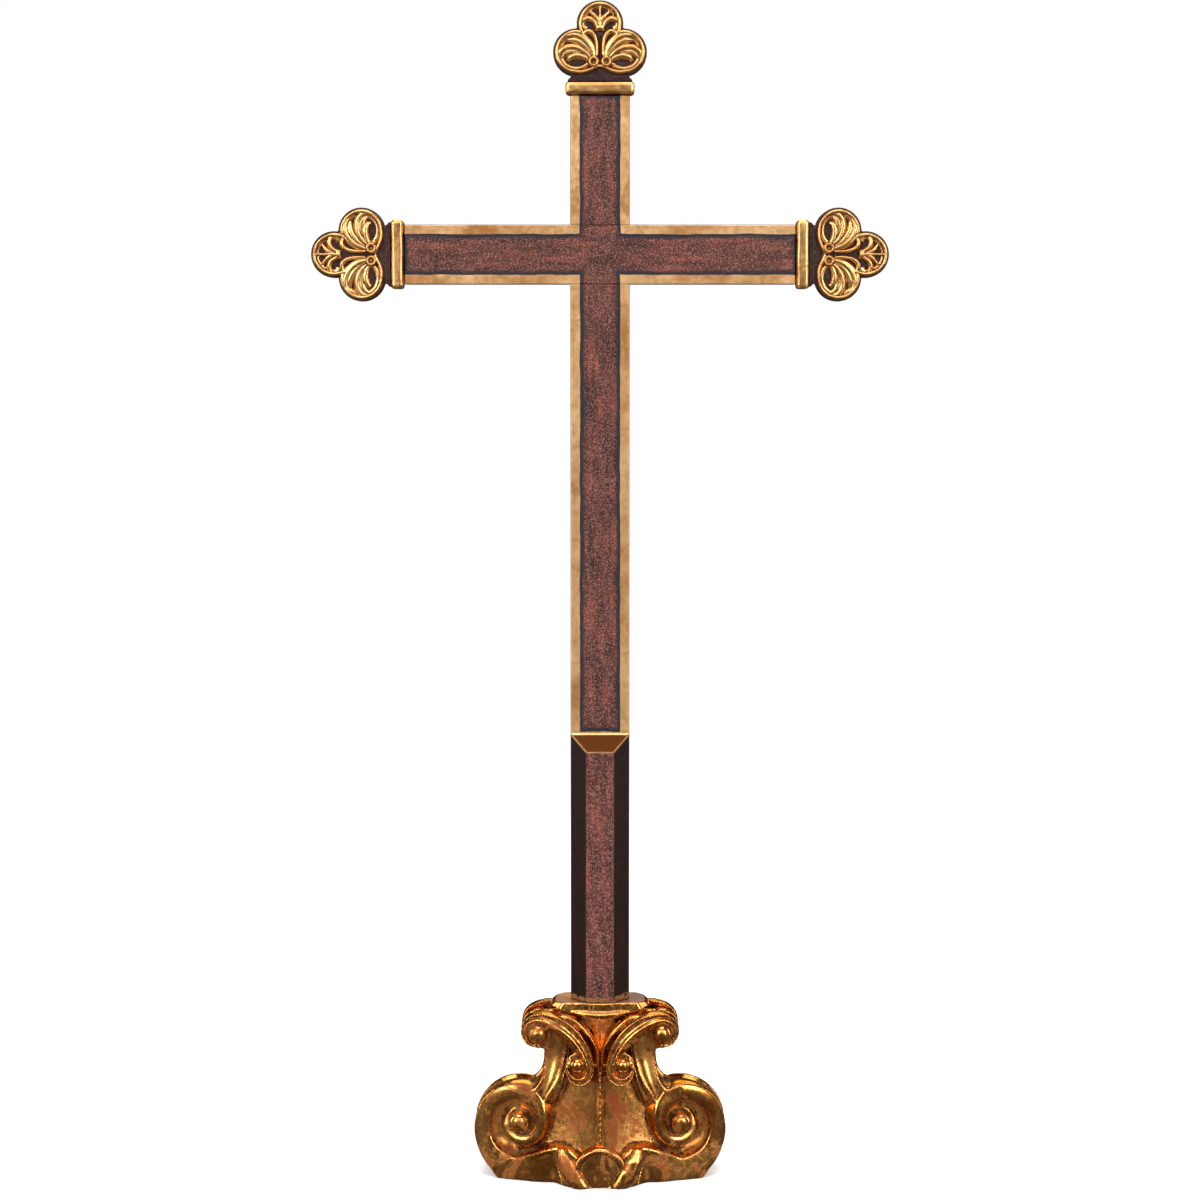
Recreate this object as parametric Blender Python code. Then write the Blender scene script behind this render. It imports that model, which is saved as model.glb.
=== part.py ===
"""A standing altar cross: a flat painted cross with trefoil ends, on an eight-sided shaft and a scrolled foot.

Metres, +Z up, the front looks along -Y. The origin is on the ground under the shaft's axis.
"""

import math

import bmesh
import bpy
from mathutils import Vector

MM = 0.001

# Overall sizes
TOTAL_HEIGHT = 600 * MM
ARM_SPAN = 291.5 * MM
CROSSING_HEIGHT = 473.5 * MM
BASE_WIDTH = 130 * MM
BASE_HEIGHT = 91.5 * MM

# Cross and shaft
MEMBER_WIDTH = 30 * MM
PLANK_THICKNESS = 7 * MM
SHAFT_CHAMFER = 8.2 * MM
STOP_HEIGHT = 229.5 * MM
EDGE_EASE = 0.5 * MM

# Trefoil ends
FINIAL_LENGTH = 40.4 * MM
LOBE_RADIUS = 11.7 * MM
LOBE_SPREAD = 11.85 * MM
LOBE_RISE = 14.8 * MM
CUSP_RISE = 6.4 * MM
NECK_WIDTH = 28.6 * MM
RIM_INSET = 0.8 * MM
RELIEF_HEIGHT = 2.2 * MM
COLLAR_LENGTH = 6.3 * MM
COLLAR_OVERHANG = 2.3 * MM
COLLAR_ROUND = 2.2 * MM

# Foot
CAP_HEIGHT = 7.2 * MM
CAP_WIDTH = 51.4 * MM
CAP_DEPTH = 25 * MM
CAP_BOW = 2.2 * MM
CAP_CANT = 5 * MM
FOOT_DEPTH = 57 * MM
PROW_SLOPE = 0.25
PROW_FLARE = 1.15
CORE_WAIST = 15.6 * MM  # half width under the cap
CORE_SPLAY = 3.9 * MM
CORE_BELLY = 9.8 * MM
CORE_BELLY_HEIGHT = 25 * MM
CORE_BELLY_SPREAD = 17 * MM
UPPER_VOLUTE_X = 31.5 * MM
UPPER_VOLUTE_RADIUS = 9 * MM
UPPER_VOLUTE_LIFT = 1 * MM
LOWER_VOLUTE_Z = 29.2 * MM
LOWER_VOLUTE_RADIUS = 18.8 * MM
VOLUTE_REACH = 23.2 * MM
VOLUTE_GROWTH = 0.155 * MM  # for each degree past VOLUTE_TURN
VOLUTE_TURN = 20
SCROLL_DEPTH = 12.5 * MM  # half depth at the ground, SCROLL_DATUM_X out
SCROLL_DATUM_X = 48 * MM
SCROLL_TURN = 0.25
SCROLL_LEAN = 0.07
EYE_RADIUS = 5.2 * MM
EYE_GROOVE = 2.6 * MM
EYE_PROUD = 3 * MM
STRAP_WIDTH = 8 * MM
STRAP_DEPTH = 3.5 * MM
STRAP_CURL_X = 11.4 * MM
STRAP_CURL_DROP = 14.6 * MM
STRAP_CURL_RADIUS = 8 * MM
STRAP_BEND = 5 * MM
STRAP_ARCH = 1.5 * MM
CARTOUCHE_WIDTH = 25 * MM
CARTOUCHE_HEIGHT = 19.5 * MM
CARTOUCHE_DEPTH = 6 * MM
CARTOUCHE_SHOULDER = 8.8 * MM
CARTOUCHE_FOOT = 13 * MM
CARTOUCHE_LEAN = 0.12

# Joinery
GAP = 0.3 * MM
DOWEL_RADIUS = 1.5 * MM
DOWEL_IN_BEAM = 12 * MM
DOWEL_IN_FINIAL = 9 * MM
ROD_RADIUS = 3 * MM
ROD_IN_SHAFT = 60 * MM
RECESS_RADIUS = 9.5 * MM
RECESS_DEPTH = 14 * MM
WASHER_RADIUS = 8 * MM
WASHER_THICKNESS = 1.6 * MM
NUT_ACROSS_FLATS = 10 * MM
NUT_HEIGHT = 5 * MM
ROD_PAST_NUT = 1.5 * MM

# Places that follow from the sizes
SHAFT_DEPTH = PLANK_THICKNESS + 2 * SHAFT_CHAMFER
ARM_END = ARM_SPAN / 2 - FINIAL_LENGTH - COLLAR_LENGTH
HEAD_END = TOTAL_HEIGHT - FINIAL_LENGTH - COLLAR_LENGTH
CAP_BOTTOM = BASE_HEIGHT - CAP_HEIGHT
LOWER_VOLUTE_X = BASE_WIDTH / 2 - VOLUTE_REACH
UPPER_VOLUTE_Z = CAP_BOTTOM - UPPER_VOLUTE_RADIUS + UPPER_VOLUTE_LIFT
ROUND_SIDES = 20


def make_material(name, colour, roughness, metallic):
    material = bpy.data.materials.new(name)
    material.use_nodes = True
    shader = material.node_tree.nodes["Principled BSDF"]
    shader.inputs["Base Color"].default_value = (*colour, 1)
    shader.inputs["Roughness"].default_value = roughness
    shader.inputs["Metallic"].default_value = metallic
    return material


def add_object(name, bm, material, parent=None):
    bmesh.ops.recalc_face_normals(bm, faces=bm.faces)
    mesh = bpy.data.meshes.new(name)
    bm.to_mesh(mesh)
    bm.free()
    mesh.materials.append(material)
    obj = bpy.data.objects.new(name, mesh)
    bpy.context.collection.objects.link(obj)
    obj.parent = parent
    return obj


def add_cutter(name, bm, parent=None):
    cutter = add_object(name, bm, CUTTER_WIRE, parent)
    cutter.hide_render = True
    cutter.display_type = "WIRE"
    return cutter


def cut(obj, cutter):
    modifier = obj.modifiers.new(cutter.name, "BOOLEAN")
    modifier.operation = "DIFFERENCE"
    modifier.solver = "EXACT"
    modifier.object = cutter


def ease_edges(obj, width, segments=1, angle=30):
    modifier = obj.modifiers.new("eased_edges", "BEVEL")
    modifier.width = width
    modifier.segments = segments
    modifier.limit_method = "ANGLE"
    modifier.angle_limit = math.radians(angle)


def shade_round(obj, angle=35):
    obj.data.shade_smooth()
    obj.data.set_sharp_from_angle(angle=math.radians(angle))


def arc(centre, radius, start, end, steps):
    """Points (x, z) from one angle to the other, in degrees."""
    points = []
    for step in range(steps + 1):
        angle = math.radians(start + (end - start) * step / steps)
        points.append((centre[0] + radius * math.cos(angle), centre[1] + radius * math.sin(angle)))
    return points


def outline_plate(outline, back, front):
    """A plate with this (x, z) outline. back and front give the y of each of its faces at (x, z)."""
    bm = bmesh.new()
    ring = [bm.verts.new((x, back(x, z), z)) for x, z in outline]
    face = bm.faces.new(ring)
    grown = bmesh.ops.extrude_face_region(bm, geom=[face])
    for vert in [item for item in grown["geom"] if isinstance(item, bmesh.types.BMVert)]:
        vert.co.y = front(vert.co.x, vert.co.z)
    bmesh.ops.triangulate(bm, faces=[f for f in bm.faces if len(f.verts) > 4])
    return bm


def box(low, high):
    bm = bmesh.new()
    bmesh.ops.create_cube(bm, size=1)
    for vert in bm.verts:
        vert.co = [a if c < 0 else b for a, b, c in zip(low, high, vert.co)]
    return bm


def rod(radius, bottom, top, sides=ROUND_SIDES):
    bm = bmesh.new()
    bmesh.ops.create_cone(
        bm, cap_ends=True, segments=sides, radius1=radius, radius2=radius, depth=top - bottom
    )
    bmesh.ops.translate(bm, verts=bm.verts, vec=(0, 0, (top + bottom) / 2))
    return bm


def mirrored(bm, x_sign, y_sign):
    bmesh.ops.scale(bm, verts=bm.verts, vec=(x_sign, y_sign, 1))
    return bm


# The cross and its shaft


def build_upright():
    """One board: eight-sided below the stop, a flat plank above it, bored at both ends."""
    half = MEMBER_WIDTH / 2
    plank = PLANK_THICKNESS / 2
    deep = SHAFT_DEPTH / 2
    face = half - SHAFT_CHAMFER
    foot = BASE_HEIGHT + GAP
    section = [
        (-face, -deep), (face, -deep), (half, -plank), (half, plank),
        (face, deep), (-face, deep), (-half, plank), (-half, -plank),
    ]
    bm = bmesh.new()
    ring = bm.faces.new([bm.verts.new((x, y, foot)) for x, y in section])
    grown = bmesh.ops.extrude_face_region(bm, geom=[ring])["geom"]
    top = next(item for item in grown if isinstance(item, bmesh.types.BMFace))
    for vert in top.verts:
        on_plank = abs(vert.co.y) < plank + GAP
        vert.co.z = STOP_HEIGHT if on_plank else STOP_HEIGHT - SHAFT_CHAMFER
    sides = [vert for vert in top.verts if abs(vert.co.y) < plank + GAP]
    bmesh.ops.delete(bm, geom=[top], context="FACES_ONLY")
    for sign in (-1, 1):
        slope = [v for v in bm.verts if v.co.z > foot + GAP and v.co.y * sign > 0]
        slope.sort(key=lambda v: math.atan2(v.co.y - sign * (plank + GAP), v.co.x))
        bm.faces.new(slope)
    sides.sort(key=lambda v: math.atan2(v.co.y, v.co.x))
    shoulder = bm.faces.new(sides)
    plank_top = bmesh.ops.extrude_face_region(bm, geom=[shoulder])["geom"]
    for vert in [item for item in plank_top if isinstance(item, bmesh.types.BMVert)]:
        vert.co.z = HEAD_END - GAP
    bmesh.ops.delete(bm, geom=[shoulder], context="FACES_ONLY")
    upright = add_object("upright", bm, PAINTED_WOOD)
    ease_edges(upright, EDGE_EASE)
    reach = half + GAP
    notch = box(
        (-MEMBER_WIDTH, -SHAFT_DEPTH, CROSSING_HEIGHT - reach),
        (MEMBER_WIDTH, GAP / 2, CROSSING_HEIGHT + reach),
    )
    cut(upright, add_cutter("upright_lap", notch))
    bore = rod(DOWEL_RADIUS + GAP, HEAD_END - DOWEL_IN_BEAM - GAP, TOTAL_HEIGHT)
    cut(upright, add_cutter("head_bore", bore))
    rod_bore = rod(ROD_RADIUS + GAP, 0, BASE_HEIGHT + ROD_IN_SHAFT + GAP)
    cut(upright, add_cutter("foot_bore", rod_bore))


def build_crossbar():
    half = MEMBER_WIDTH / 2
    plank = PLANK_THICKNESS / 2
    end = ARM_END - GAP
    bm = box((-end, -plank, CROSSING_HEIGHT - half), (end, plank, CROSSING_HEIGHT + half))
    crossbar = add_object("crossbar", bm, PAINTED_WOOD)
    ease_edges(crossbar, EDGE_EASE)
    reach = half + GAP
    notch = box((-reach, -GAP / 2, 0), (reach, SHAFT_DEPTH, TOTAL_HEIGHT))
    cut(crossbar, add_cutter("crossbar_lap", notch))
    for side in (-1, 1):
        bore = rod(DOWEL_RADIUS + GAP, ARM_END - DOWEL_IN_BEAM - GAP, ARM_SPAN / 2)
        cutter = add_cutter("arm_bore_%s" % ("left" if side < 0 else "right"), bore)
        cutter.location.z = CROSSING_HEIGHT
        cutter.rotation_euler.y = side * math.pi / 2
        cut(crossbar, cutter)


# Trefoil ends, each built upright at the origin and placed by an empty at its collar


def trefoil_outline(radius, steps=10):
    """The right half of three joined lobes from the lowest point of the side lobe to the tip."""
    side = Vector((LOBE_SPREAD, LOBE_RISE))
    head = Vector((0, FINIAL_LENGTH - LOBE_RADIUS))
    between = head - side
    rise = math.degrees(math.atan2(between.y, between.x))
    spread = math.degrees(math.acos(between.length / 2 / radius))
    points = arc(side, radius, -88, rise - spread, steps)
    points += arc(head, radius, rise + 180 + spread - 360, 90, steps)[1:]
    return points


def closed_mirror(half):
    """The half outline and its mirror image, as one loop that starts on the right."""
    left = [(-x, z) for x, z in reversed(half) if x > GAP / 10]
    return half + left


def build_finial_board(name, parent):
    neck = NECK_WIDTH / 2
    lobes = [point for point in trefoil_outline(LOBE_RADIUS) if point[0] > 0 or point[1] > LOBE_RISE]
    below = math.sqrt(LOBE_RADIUS**2 - (neck - LOBE_SPREAD) ** 2)
    half = [(neck, GAP), (neck, LOBE_RISE - below)]
    half += [point for point in lobes if point[0] > neck + GAP or point[1] > LOBE_RISE]
    thick = PLANK_THICKNESS / 2
    bm = outline_plate(closed_mirror(half), lambda x, z: thick, lambda x, z: -thick)
    board = add_object(name, bm, PAINTED_WOOD, parent)
    ease_edges(board, EDGE_EASE, angle=60)
    bore = rod(DOWEL_RADIUS + GAP, -DOWEL_IN_BEAM, DOWEL_IN_FINIAL + GAP)
    cut(board, add_cutter(name + "_bore", bore, parent))
    shade_round(board)


def ellipse_cutter(centre, half_length, half_width, turn, steps=14):
    front = -PLANK_THICKNESS
    cosine = math.cos(math.radians(turn))
    sine = math.sin(math.radians(turn))
    outline = []
    for across, along in arc((0, 0), 1, 0, 360 * (1 - 1 / steps), steps - 1):
        x = half_length * across * cosine - half_width * along * sine
        z = half_length * across * sine + half_width * along * cosine
        outline.append((centre[0] + x, centre[1] + z))
    return outline_plate(outline, lambda x, z: 0, lambda x, z: front)


def build_ornament(name, parent):
    """The gilded relief: a trefoil rim and leaves, with the openings between them cut through."""
    back = -PLANK_THICKNESS / 2 - GAP
    front = back - RELIEF_HEIGHT
    half = [(0, CUSP_RISE)] + trefoil_outline(LOBE_RADIUS - RIM_INSET)
    bm = outline_plate(closed_mirror(half), lambda x, z: back, lambda x, z: front)
    ornament = add_object(name, bm, GILDING, parent)
    head = FINIAL_LENGTH - LOBE_RADIUS
    slot = ellipse_cutter((0, (head + LOBE_RISE) / 2 - 2 * MM), 0.9 * MM, 6.5 * MM, 0)
    cut(ornament, add_cutter(name + "_slot", slot, parent))
    openings = {
        "eye": ((13 * MM, LOBE_RISE - 6 * MM), 5.6 * MM, 2 * MM, 4),
        "leaf": ((15.5 * MM, LOBE_RISE + 4.8 * MM), 5.2 * MM, 1.6 * MM, 14),
        "crown": ((4.6 * MM, head + 4.6 * MM), 2.8 * MM, 1.7 * MM, -40),
    }
    for label, (centre, length, width, turn) in openings.items():
        for side in (-1, 1):
            opening = ellipse_cutter((side * centre[0], centre[1]), length, width, side * turn)
            cut(ornament, add_cutter("%s_%s_%d" % (name, label, side + 1), opening, parent))
    shade_round(ornament)


def build_collar(name, parent):
    wide = MEMBER_WIDTH / 2 + COLLAR_OVERHANG
    deep = PLANK_THICKNESS / 2 + COLLAR_OVERHANG
    bm = box((-wide, -deep, -COLLAR_LENGTH), (wide, deep, 0))
    collar = add_object(name, bm, GILDING, parent)
    ease_edges(collar, COLLAR_ROUND, segments=3)
    bore = rod(DOWEL_RADIUS + GAP, -DOWEL_IN_BEAM, DOWEL_IN_FINIAL)
    cut(collar, add_cutter(name + "_bore", bore, parent))
    shade_round(collar)


def build_dowel(name, parent):
    bm = rod(DOWEL_RADIUS, -COLLAR_LENGTH - DOWEL_IN_BEAM, DOWEL_IN_FINIAL)
    shade_round(add_object(name, bm, BARE_WOOD, parent))


def build_ends():
    places = {
        "top": ((0, 0, HEAD_END + COLLAR_LENGTH), 0),
        "left": ((-ARM_END - COLLAR_LENGTH, 0, CROSSING_HEIGHT), -90),
        "right": ((ARM_END + COLLAR_LENGTH, 0, CROSSING_HEIGHT), 90),
    }
    for label, (place, turn) in places.items():
        seat = bpy.data.objects.new(label + "_end_seat", None)
        bpy.context.collection.objects.link(seat)
        seat.location = place
        seat.rotation_euler.y = math.radians(turn)
        build_finial_board("finial_board_" + label, seat)
        build_ornament("finial_ornament_" + label, seat)
        build_collar("collar_" + label, seat)
        build_dowel("finial_dowel_" + label, seat)


# The foot


def core_half_width(z):
    """Half the width of the middle block, widest where the lower scrolls turn in."""
    belly = CORE_BELLY * math.exp(-(((z - CORE_BELLY_HEIGHT) / CORE_BELLY_SPREAD) ** 2))
    return CORE_WAIST + CORE_SPLAY * (1 - z / CAP_BOTTOM) + belly


def prow_depth(z):
    """How far forward the ridge of the middle block stands."""
    neck = CAP_DEPTH / 2
    return neck + (FOOT_DEPTH / 2 - neck) * (1 - z / CAP_BOTTOM) ** PROW_FLARE


def scroll_face(x, z):
    """Half the depth of a scroll: its faces turn outwards and lean back."""
    return SCROLL_DEPTH + SCROLL_TURN * (SCROLL_DATUM_X - x) - SCROLL_LEAN * z


def core_section(z):
    half = core_half_width(z)
    ridge = prow_depth(z)
    edge = ridge - PROW_SLOPE * half
    return [(-half, -edge), (0, -ridge), (half, -edge), (half, edge), (0, ridge), (-half, edge)]


def base_stations(steps=12):
    top = CAP_BOTTOM - GAP
    return [top * step / steps for step in range(steps + 1)]


def build_core():
    bm = bmesh.new()
    rings = []
    for z in base_stations():
        verts = [bm.verts.new((x, y, z)) for x, y in core_section(z)]
        rings.append([bm.edges.new((a, b)) for a, b in zip(verts, verts[1:] + verts[:1])])
    for lower, upper in zip(rings, rings[1:]):
        bmesh.ops.bridge_loops(bm, edges=lower + upper)
    bmesh.ops.holes_fill(bm, edges=rings[0] + rings[-1])
    bmesh.ops.triangulate(bm, faces=bm.faces)
    core = add_object("base_core", bm, GILDING)
    for sign in (-1, 1):
        label = "front" if sign < 0 else "rear"
        pocket = cartouche_solid(GAP)
        cut(core, add_cutter("pocket_" + label, mirrored(pocket, 1, -sign)))
    cut(core, add_cutter("core_bore", rod(ROD_RADIUS + GAP, -CAP_HEIGHT, BASE_HEIGHT)))
    cut(core, add_cutter("core_recess", rod(RECESS_RADIUS, -CAP_HEIGHT, RECESS_DEPTH, 32)))


def cartouche_outline(grown):
    """A half oval that narrows to the ground, larger all round by grown."""
    half = CARTOUCHE_WIDTH / 2 + grown
    low = CARTOUCHE_SHOULDER
    bottom = -CAP_HEIGHT if grown else 0
    foot = CARTOUCHE_FOOT / 2 + grown
    right = [(foot, bottom), ((foot + half) / 2, low / 2)]
    rise = CARTOUCHE_HEIGHT + grown - low
    right += [(x, low + z * rise / half) for x, z in arc((0, 0), half, 0, 90, 8)]
    return closed_mirror(right)


def cartouche_solid(grown=0):
    back = FOOT_DEPTH / 2 - CARTOUCHE_DEPTH - grown
    front = FOOT_DEPTH / 2 + (CAP_DEPTH if grown else 0)
    lean = 0 if grown else CARTOUCHE_LEAN
    return outline_plate(
        cartouche_outline(grown), lambda x, z: -back, lambda x, z: -front + lean * z
    )


def build_cartouches():
    for sign in (-1, 1):
        name = "cartouche_front" if sign < 0 else "cartouche_rear"
        shield = add_object(name, mirrored(cartouche_solid(), 1, -sign), GILDING)
        ease_edges(shield, 2 * EDGE_EASE, angle=60)
        shade_round(shield)


def lower_spiral_radius(angle):
    """The lower scroll keeps its radius over the top and grows on its way down to the ground."""
    return LOWER_VOLUTE_RADIUS + VOLUTE_GROWTH * max(0, VOLUTE_TURN - angle)


def scroll_outline():
    inner = [(core_half_width(z) + GAP, z) for z in base_stations()]
    upper = (UPPER_VOLUTE_X, UPPER_VOLUTE_Z)
    outline = inner + arc(upper, UPPER_VOLUTE_RADIUS, 118, -118, 14)
    neck_x = UPPER_VOLUTE_X - 0.28 * UPPER_VOLUTE_RADIUS
    neck_z = (UPPER_VOLUTE_Z - UPPER_VOLUTE_RADIUS + LOWER_VOLUTE_Z + LOWER_VOLUTE_RADIUS) / 2
    outline.append((neck_x, neck_z))
    angle = 122
    while angle > -80:
        radius = lower_spiral_radius(angle)
        x = LOWER_VOLUTE_X + radius * math.cos(math.radians(angle))
        z = LOWER_VOLUTE_Z + radius * math.sin(math.radians(angle))
        if z < 0:
            break
        outline.append((x, z))
        angle -= 9
    outline.append((x, 0))
    return outline


def build_scrolls():
    for side in (-1, 1):
        name = "scroll_left" if side < 0 else "scroll_right"
        bm = outline_plate(scroll_outline(), scroll_face, lambda x, z: -scroll_face(x, z))
        scroll = add_object(name, mirrored(bm, side, 1), GILDING)
        volutes = {
            "upper": (UPPER_VOLUTE_X, UPPER_VOLUTE_Z),
            "lower": (LOWER_VOLUTE_X, LOWER_VOLUTE_Z),
        }
        for label, place in volutes.items():
            for facing in (-1, 1):
                face = scroll_face(*place)
                groove = ring_cutter(EYE_RADIUS, EYE_RADIUS + EYE_GROOVE, EYE_PROUD)
                bmesh.ops.translate(groove, verts=groove.verts, vec=(place[0], -face, place[1]))
                cutter_name = "%s_%s_eye_%d" % (name, label, facing + 1)
                cut(scroll, add_cutter(cutter_name, mirrored(groove, side, -facing)))
        shade_round(scroll)


def ring_cutter(inner, outer, deep):
    """A ring with its axis along Y, deep to each side of the origin."""
    bm = bmesh.new()
    low = bm.verts.new((inner, -deep, 0))
    high = bm.verts.new((outer, -deep, 0))
    edge = bm.edges.new((low, high))
    grown = bmesh.ops.extrude_edge_only(bm, edges=[edge])["geom"]
    for vert in [item for item in grown if isinstance(item, bmesh.types.BMVert)]:
        vert.co.y = deep
    bmesh.ops.spin(
        bm, geom=bm.faces[:] + bm.edges[:] + bm.verts[:], cent=(0, 0, 0), axis=(0, 1, 0),
        angle=2 * math.pi, steps=ROUND_SIDES, use_merge=True,
    )
    inside = [face for face in bm.faces if abs(face.normal.y) < 0.5 and face_is_radial(face)]
    bmesh.ops.delete(bm, geom=inside, context="FACES")
    bmesh.ops.remove_doubles(bm, verts=bm.verts, dist=MM / 1000)
    return bm


def face_is_radial(face):
    """True for a face that holds both the inner and the outer radius at both ends of the ring."""
    reach = [math.hypot(vert.co.x, vert.co.z) for vert in face.verts]
    depth = [vert.co.y for vert in face.verts]
    return max(reach) - min(reach) > MM / 10 and max(depth) - min(depth) > MM / 10


def strap_outline():
    """A band from the upper scroll down to a small curl beside the ridge."""
    curl = (STRAP_CURL_X, UPPER_VOLUTE_Z - STRAP_CURL_DROP)
    start = (UPPER_VOLUTE_X, UPPER_VOLUTE_Z + UPPER_VOLUTE_RADIUS)
    outer = [start]
    steps = 8
    bend = (STRAP_CURL_X + STRAP_BEND, start[1])
    end = (curl[0] - STRAP_CURL_RADIUS, curl[1])
    for step in range(1, steps):
        t = step / steps
        x = (1 - t) ** 2 * start[0] + 2 * t * (1 - t) * bend[0] + t * t * end[0]
        z = (1 - t) ** 2 * start[1] + 2 * t * (1 - t) * bend[1] + t * t * end[1]
        outer.append((x, z))
    outer += arc(curl, STRAP_CURL_RADIUS, 180, 400, 12)
    inner = []
    lip = (start[0], start[1] - STRAP_WIDTH)
    last = outer[-1]
    for step in range(1, 5):
        t = step / 4
        x = last[0] + (lip[0] - last[0]) * t
        z = last[1] + (lip[1] - last[1]) * t + STRAP_ARCH * math.sin(math.pi * t)
        inner.append((x, z))
    return outer + inner


def build_straps():
    for side in (-1, 1):
        for facing in (-1, 1):
            name = "strap_%s_%s" % ("front" if facing < 0 else "rear", "left" if side < 0 else "right")
            bm = outline_plate(
                strap_outline(),
                lambda x, z: -scroll_face(x, z) - GAP,
                lambda x, z: -scroll_face(x, z) - GAP - STRAP_DEPTH,
            )
            strap = add_object(name, mirrored(bm, side, -facing), GILDING)
            ease_edges(strap, EDGE_EASE, angle=60)
            shade_round(strap)


def cap_outline():
    """(x, y) plan of the cap: canted corners and bowed long sides."""
    half = CAP_WIDTH / 2
    deep = CAP_DEPTH / 2 - CAP_BOW
    front = half - CAP_CANT
    points = []
    for sign in (-1, 1):
        for step in range(9):
            t = 2 * step / 8 - 1
            points.append((-sign * t * front, sign * (deep + CAP_BOW * (1 - t * t))))
        points.append((-sign * half, sign * (deep - CAP_CANT)))
        points.append((-sign * half, -sign * (deep - CAP_CANT)))
    return points


def build_cap():
    bm = bmesh.new()
    face = bm.faces.new([bm.verts.new((x, y, CAP_BOTTOM)) for x, y in cap_outline()])
    grown = bmesh.ops.extrude_face_region(bm, geom=[face])["geom"]
    for vert in [item for item in grown if isinstance(item, bmesh.types.BMVert)]:
        vert.co.z = BASE_HEIGHT
    cap = add_object("cap_plate", bm, GILDING)
    ease_edges(cap, EDGE_EASE)
    cut(cap, add_cutter("cap_bore", rod(ROD_RADIUS + GAP, 0, BASE_HEIGHT + CAP_HEIGHT)))


def build_fixing():
    """The threaded rod that ties the shaft to the foot, with its washer and nut in the recess."""
    washer_top = RECESS_DEPTH - GAP
    nut_top = washer_top - WASHER_THICKNESS - GAP
    nut_bottom = nut_top - NUT_HEIGHT
    tie = rod(ROD_RADIUS, nut_bottom - ROD_PAST_NUT, BASE_HEIGHT + ROD_IN_SHAFT)
    shade_round(add_object("tie_rod", tie, STEEL))
    corner = NUT_ACROSS_FLATS / 2 / math.cos(math.pi / 6)
    rings = {
        "tie_washer": (rod(WASHER_RADIUS, washer_top - WASHER_THICKNESS, washer_top, 32)),
        "tie_nut": (rod(corner, nut_bottom, nut_top, 6)),
    }
    for name, bm in rings.items():
        ring = add_object(name, bm, STEEL)
        bore = rod(ROD_RADIUS + GAP, -CAP_HEIGHT, BASE_HEIGHT)
        cut(ring, add_cutter(name + "_bore", bore))
        shade_round(ring)


for old in list(bpy.data.objects):
    bpy.data.objects.remove(old)

PAINTED_WOOD = make_material("painted_wood", (0.16, 0.05, 0.045), 0.45, 0)
GILDING = make_material("gilding", (0.78, 0.5, 0.2), 0.32, 1)
BARE_WOOD = make_material("bare_wood", (0.55, 0.38, 0.22), 0.7, 0)
STEEL = make_material("steel", (0.6, 0.6, 0.62), 0.35, 1)
CUTTER_WIRE = make_material("cutter_wire", (0.8, 0.1, 0.1), 0.5, 0)

build_upright()
build_crossbar()
build_ends()
build_core()
build_scrolls()
build_straps()
build_cartouches()
build_cap()
build_fixing()
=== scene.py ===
import math

import bmesh
import bpy
import numpy as np
from mathutils import Matrix, Vector


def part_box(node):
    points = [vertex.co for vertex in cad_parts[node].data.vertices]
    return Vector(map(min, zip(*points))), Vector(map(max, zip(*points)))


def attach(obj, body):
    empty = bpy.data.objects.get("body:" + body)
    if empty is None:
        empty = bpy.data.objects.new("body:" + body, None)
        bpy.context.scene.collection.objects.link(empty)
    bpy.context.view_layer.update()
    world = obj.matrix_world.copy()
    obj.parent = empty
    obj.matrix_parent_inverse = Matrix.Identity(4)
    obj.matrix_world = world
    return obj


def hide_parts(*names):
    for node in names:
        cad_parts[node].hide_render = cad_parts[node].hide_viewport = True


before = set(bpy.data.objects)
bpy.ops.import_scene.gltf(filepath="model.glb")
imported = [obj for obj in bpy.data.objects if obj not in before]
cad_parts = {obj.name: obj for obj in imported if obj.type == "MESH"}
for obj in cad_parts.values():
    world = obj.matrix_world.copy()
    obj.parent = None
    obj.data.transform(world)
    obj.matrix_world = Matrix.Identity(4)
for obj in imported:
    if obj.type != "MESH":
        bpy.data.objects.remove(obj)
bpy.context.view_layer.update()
scene = bpy.context.scene
mm = 0.001


# Places taken from the frame, in millimetres
def boxMm(node):
    low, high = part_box(node)
    return low / mm, high / mm


crossLow, crossHigh = boxMm("crossbar")
shaftLow, shaftHigh = boxMm("upright")
capLow, capHigh = boxMm("cap_plate")
crossing = (crossLow.z + crossHigh.z) / 2
halfMember = (crossHigh.z - crossLow.z) / 2
halfPlank = crossHigh.y
footTop = capLow.z


# A rounded line through the knots, each of any number of values
def smoothPath(knots, steps=6):
    knots = np.array(knots, float)
    rows = []
    for span in range(len(knots) - 1):
        b, c = knots[span], knots[span + 1]
        a = knots[span - 1] if span else 2 * b - c
        d = knots[span + 2] if span + 2 < len(knots) else 2 * c - b
        for part in range(steps):
            t = part / steps
            bend = 2 * b + (c - a) * t + (2 * a - 5 * b + 4 * c - d) * t**2 + (3 * b - a - 3 * c + d) * t**3
            rows.append(bend / 2)
    rows.append(knots[-1])
    return np.array(rows)


def ramp(value, low, high):
    t = np.clip((value - low) / (high - low), 0, 1)
    return t * t * (3 - 2 * t)


roundSection = [(-1, 0), (-0.92, 0.4), (-0.7, 0.72), (-0.38, 0.93), (0, 1), (0.38, 0.93), (0.7, 0.72),
                (0.92, 0.4), (1, 0)]


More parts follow.
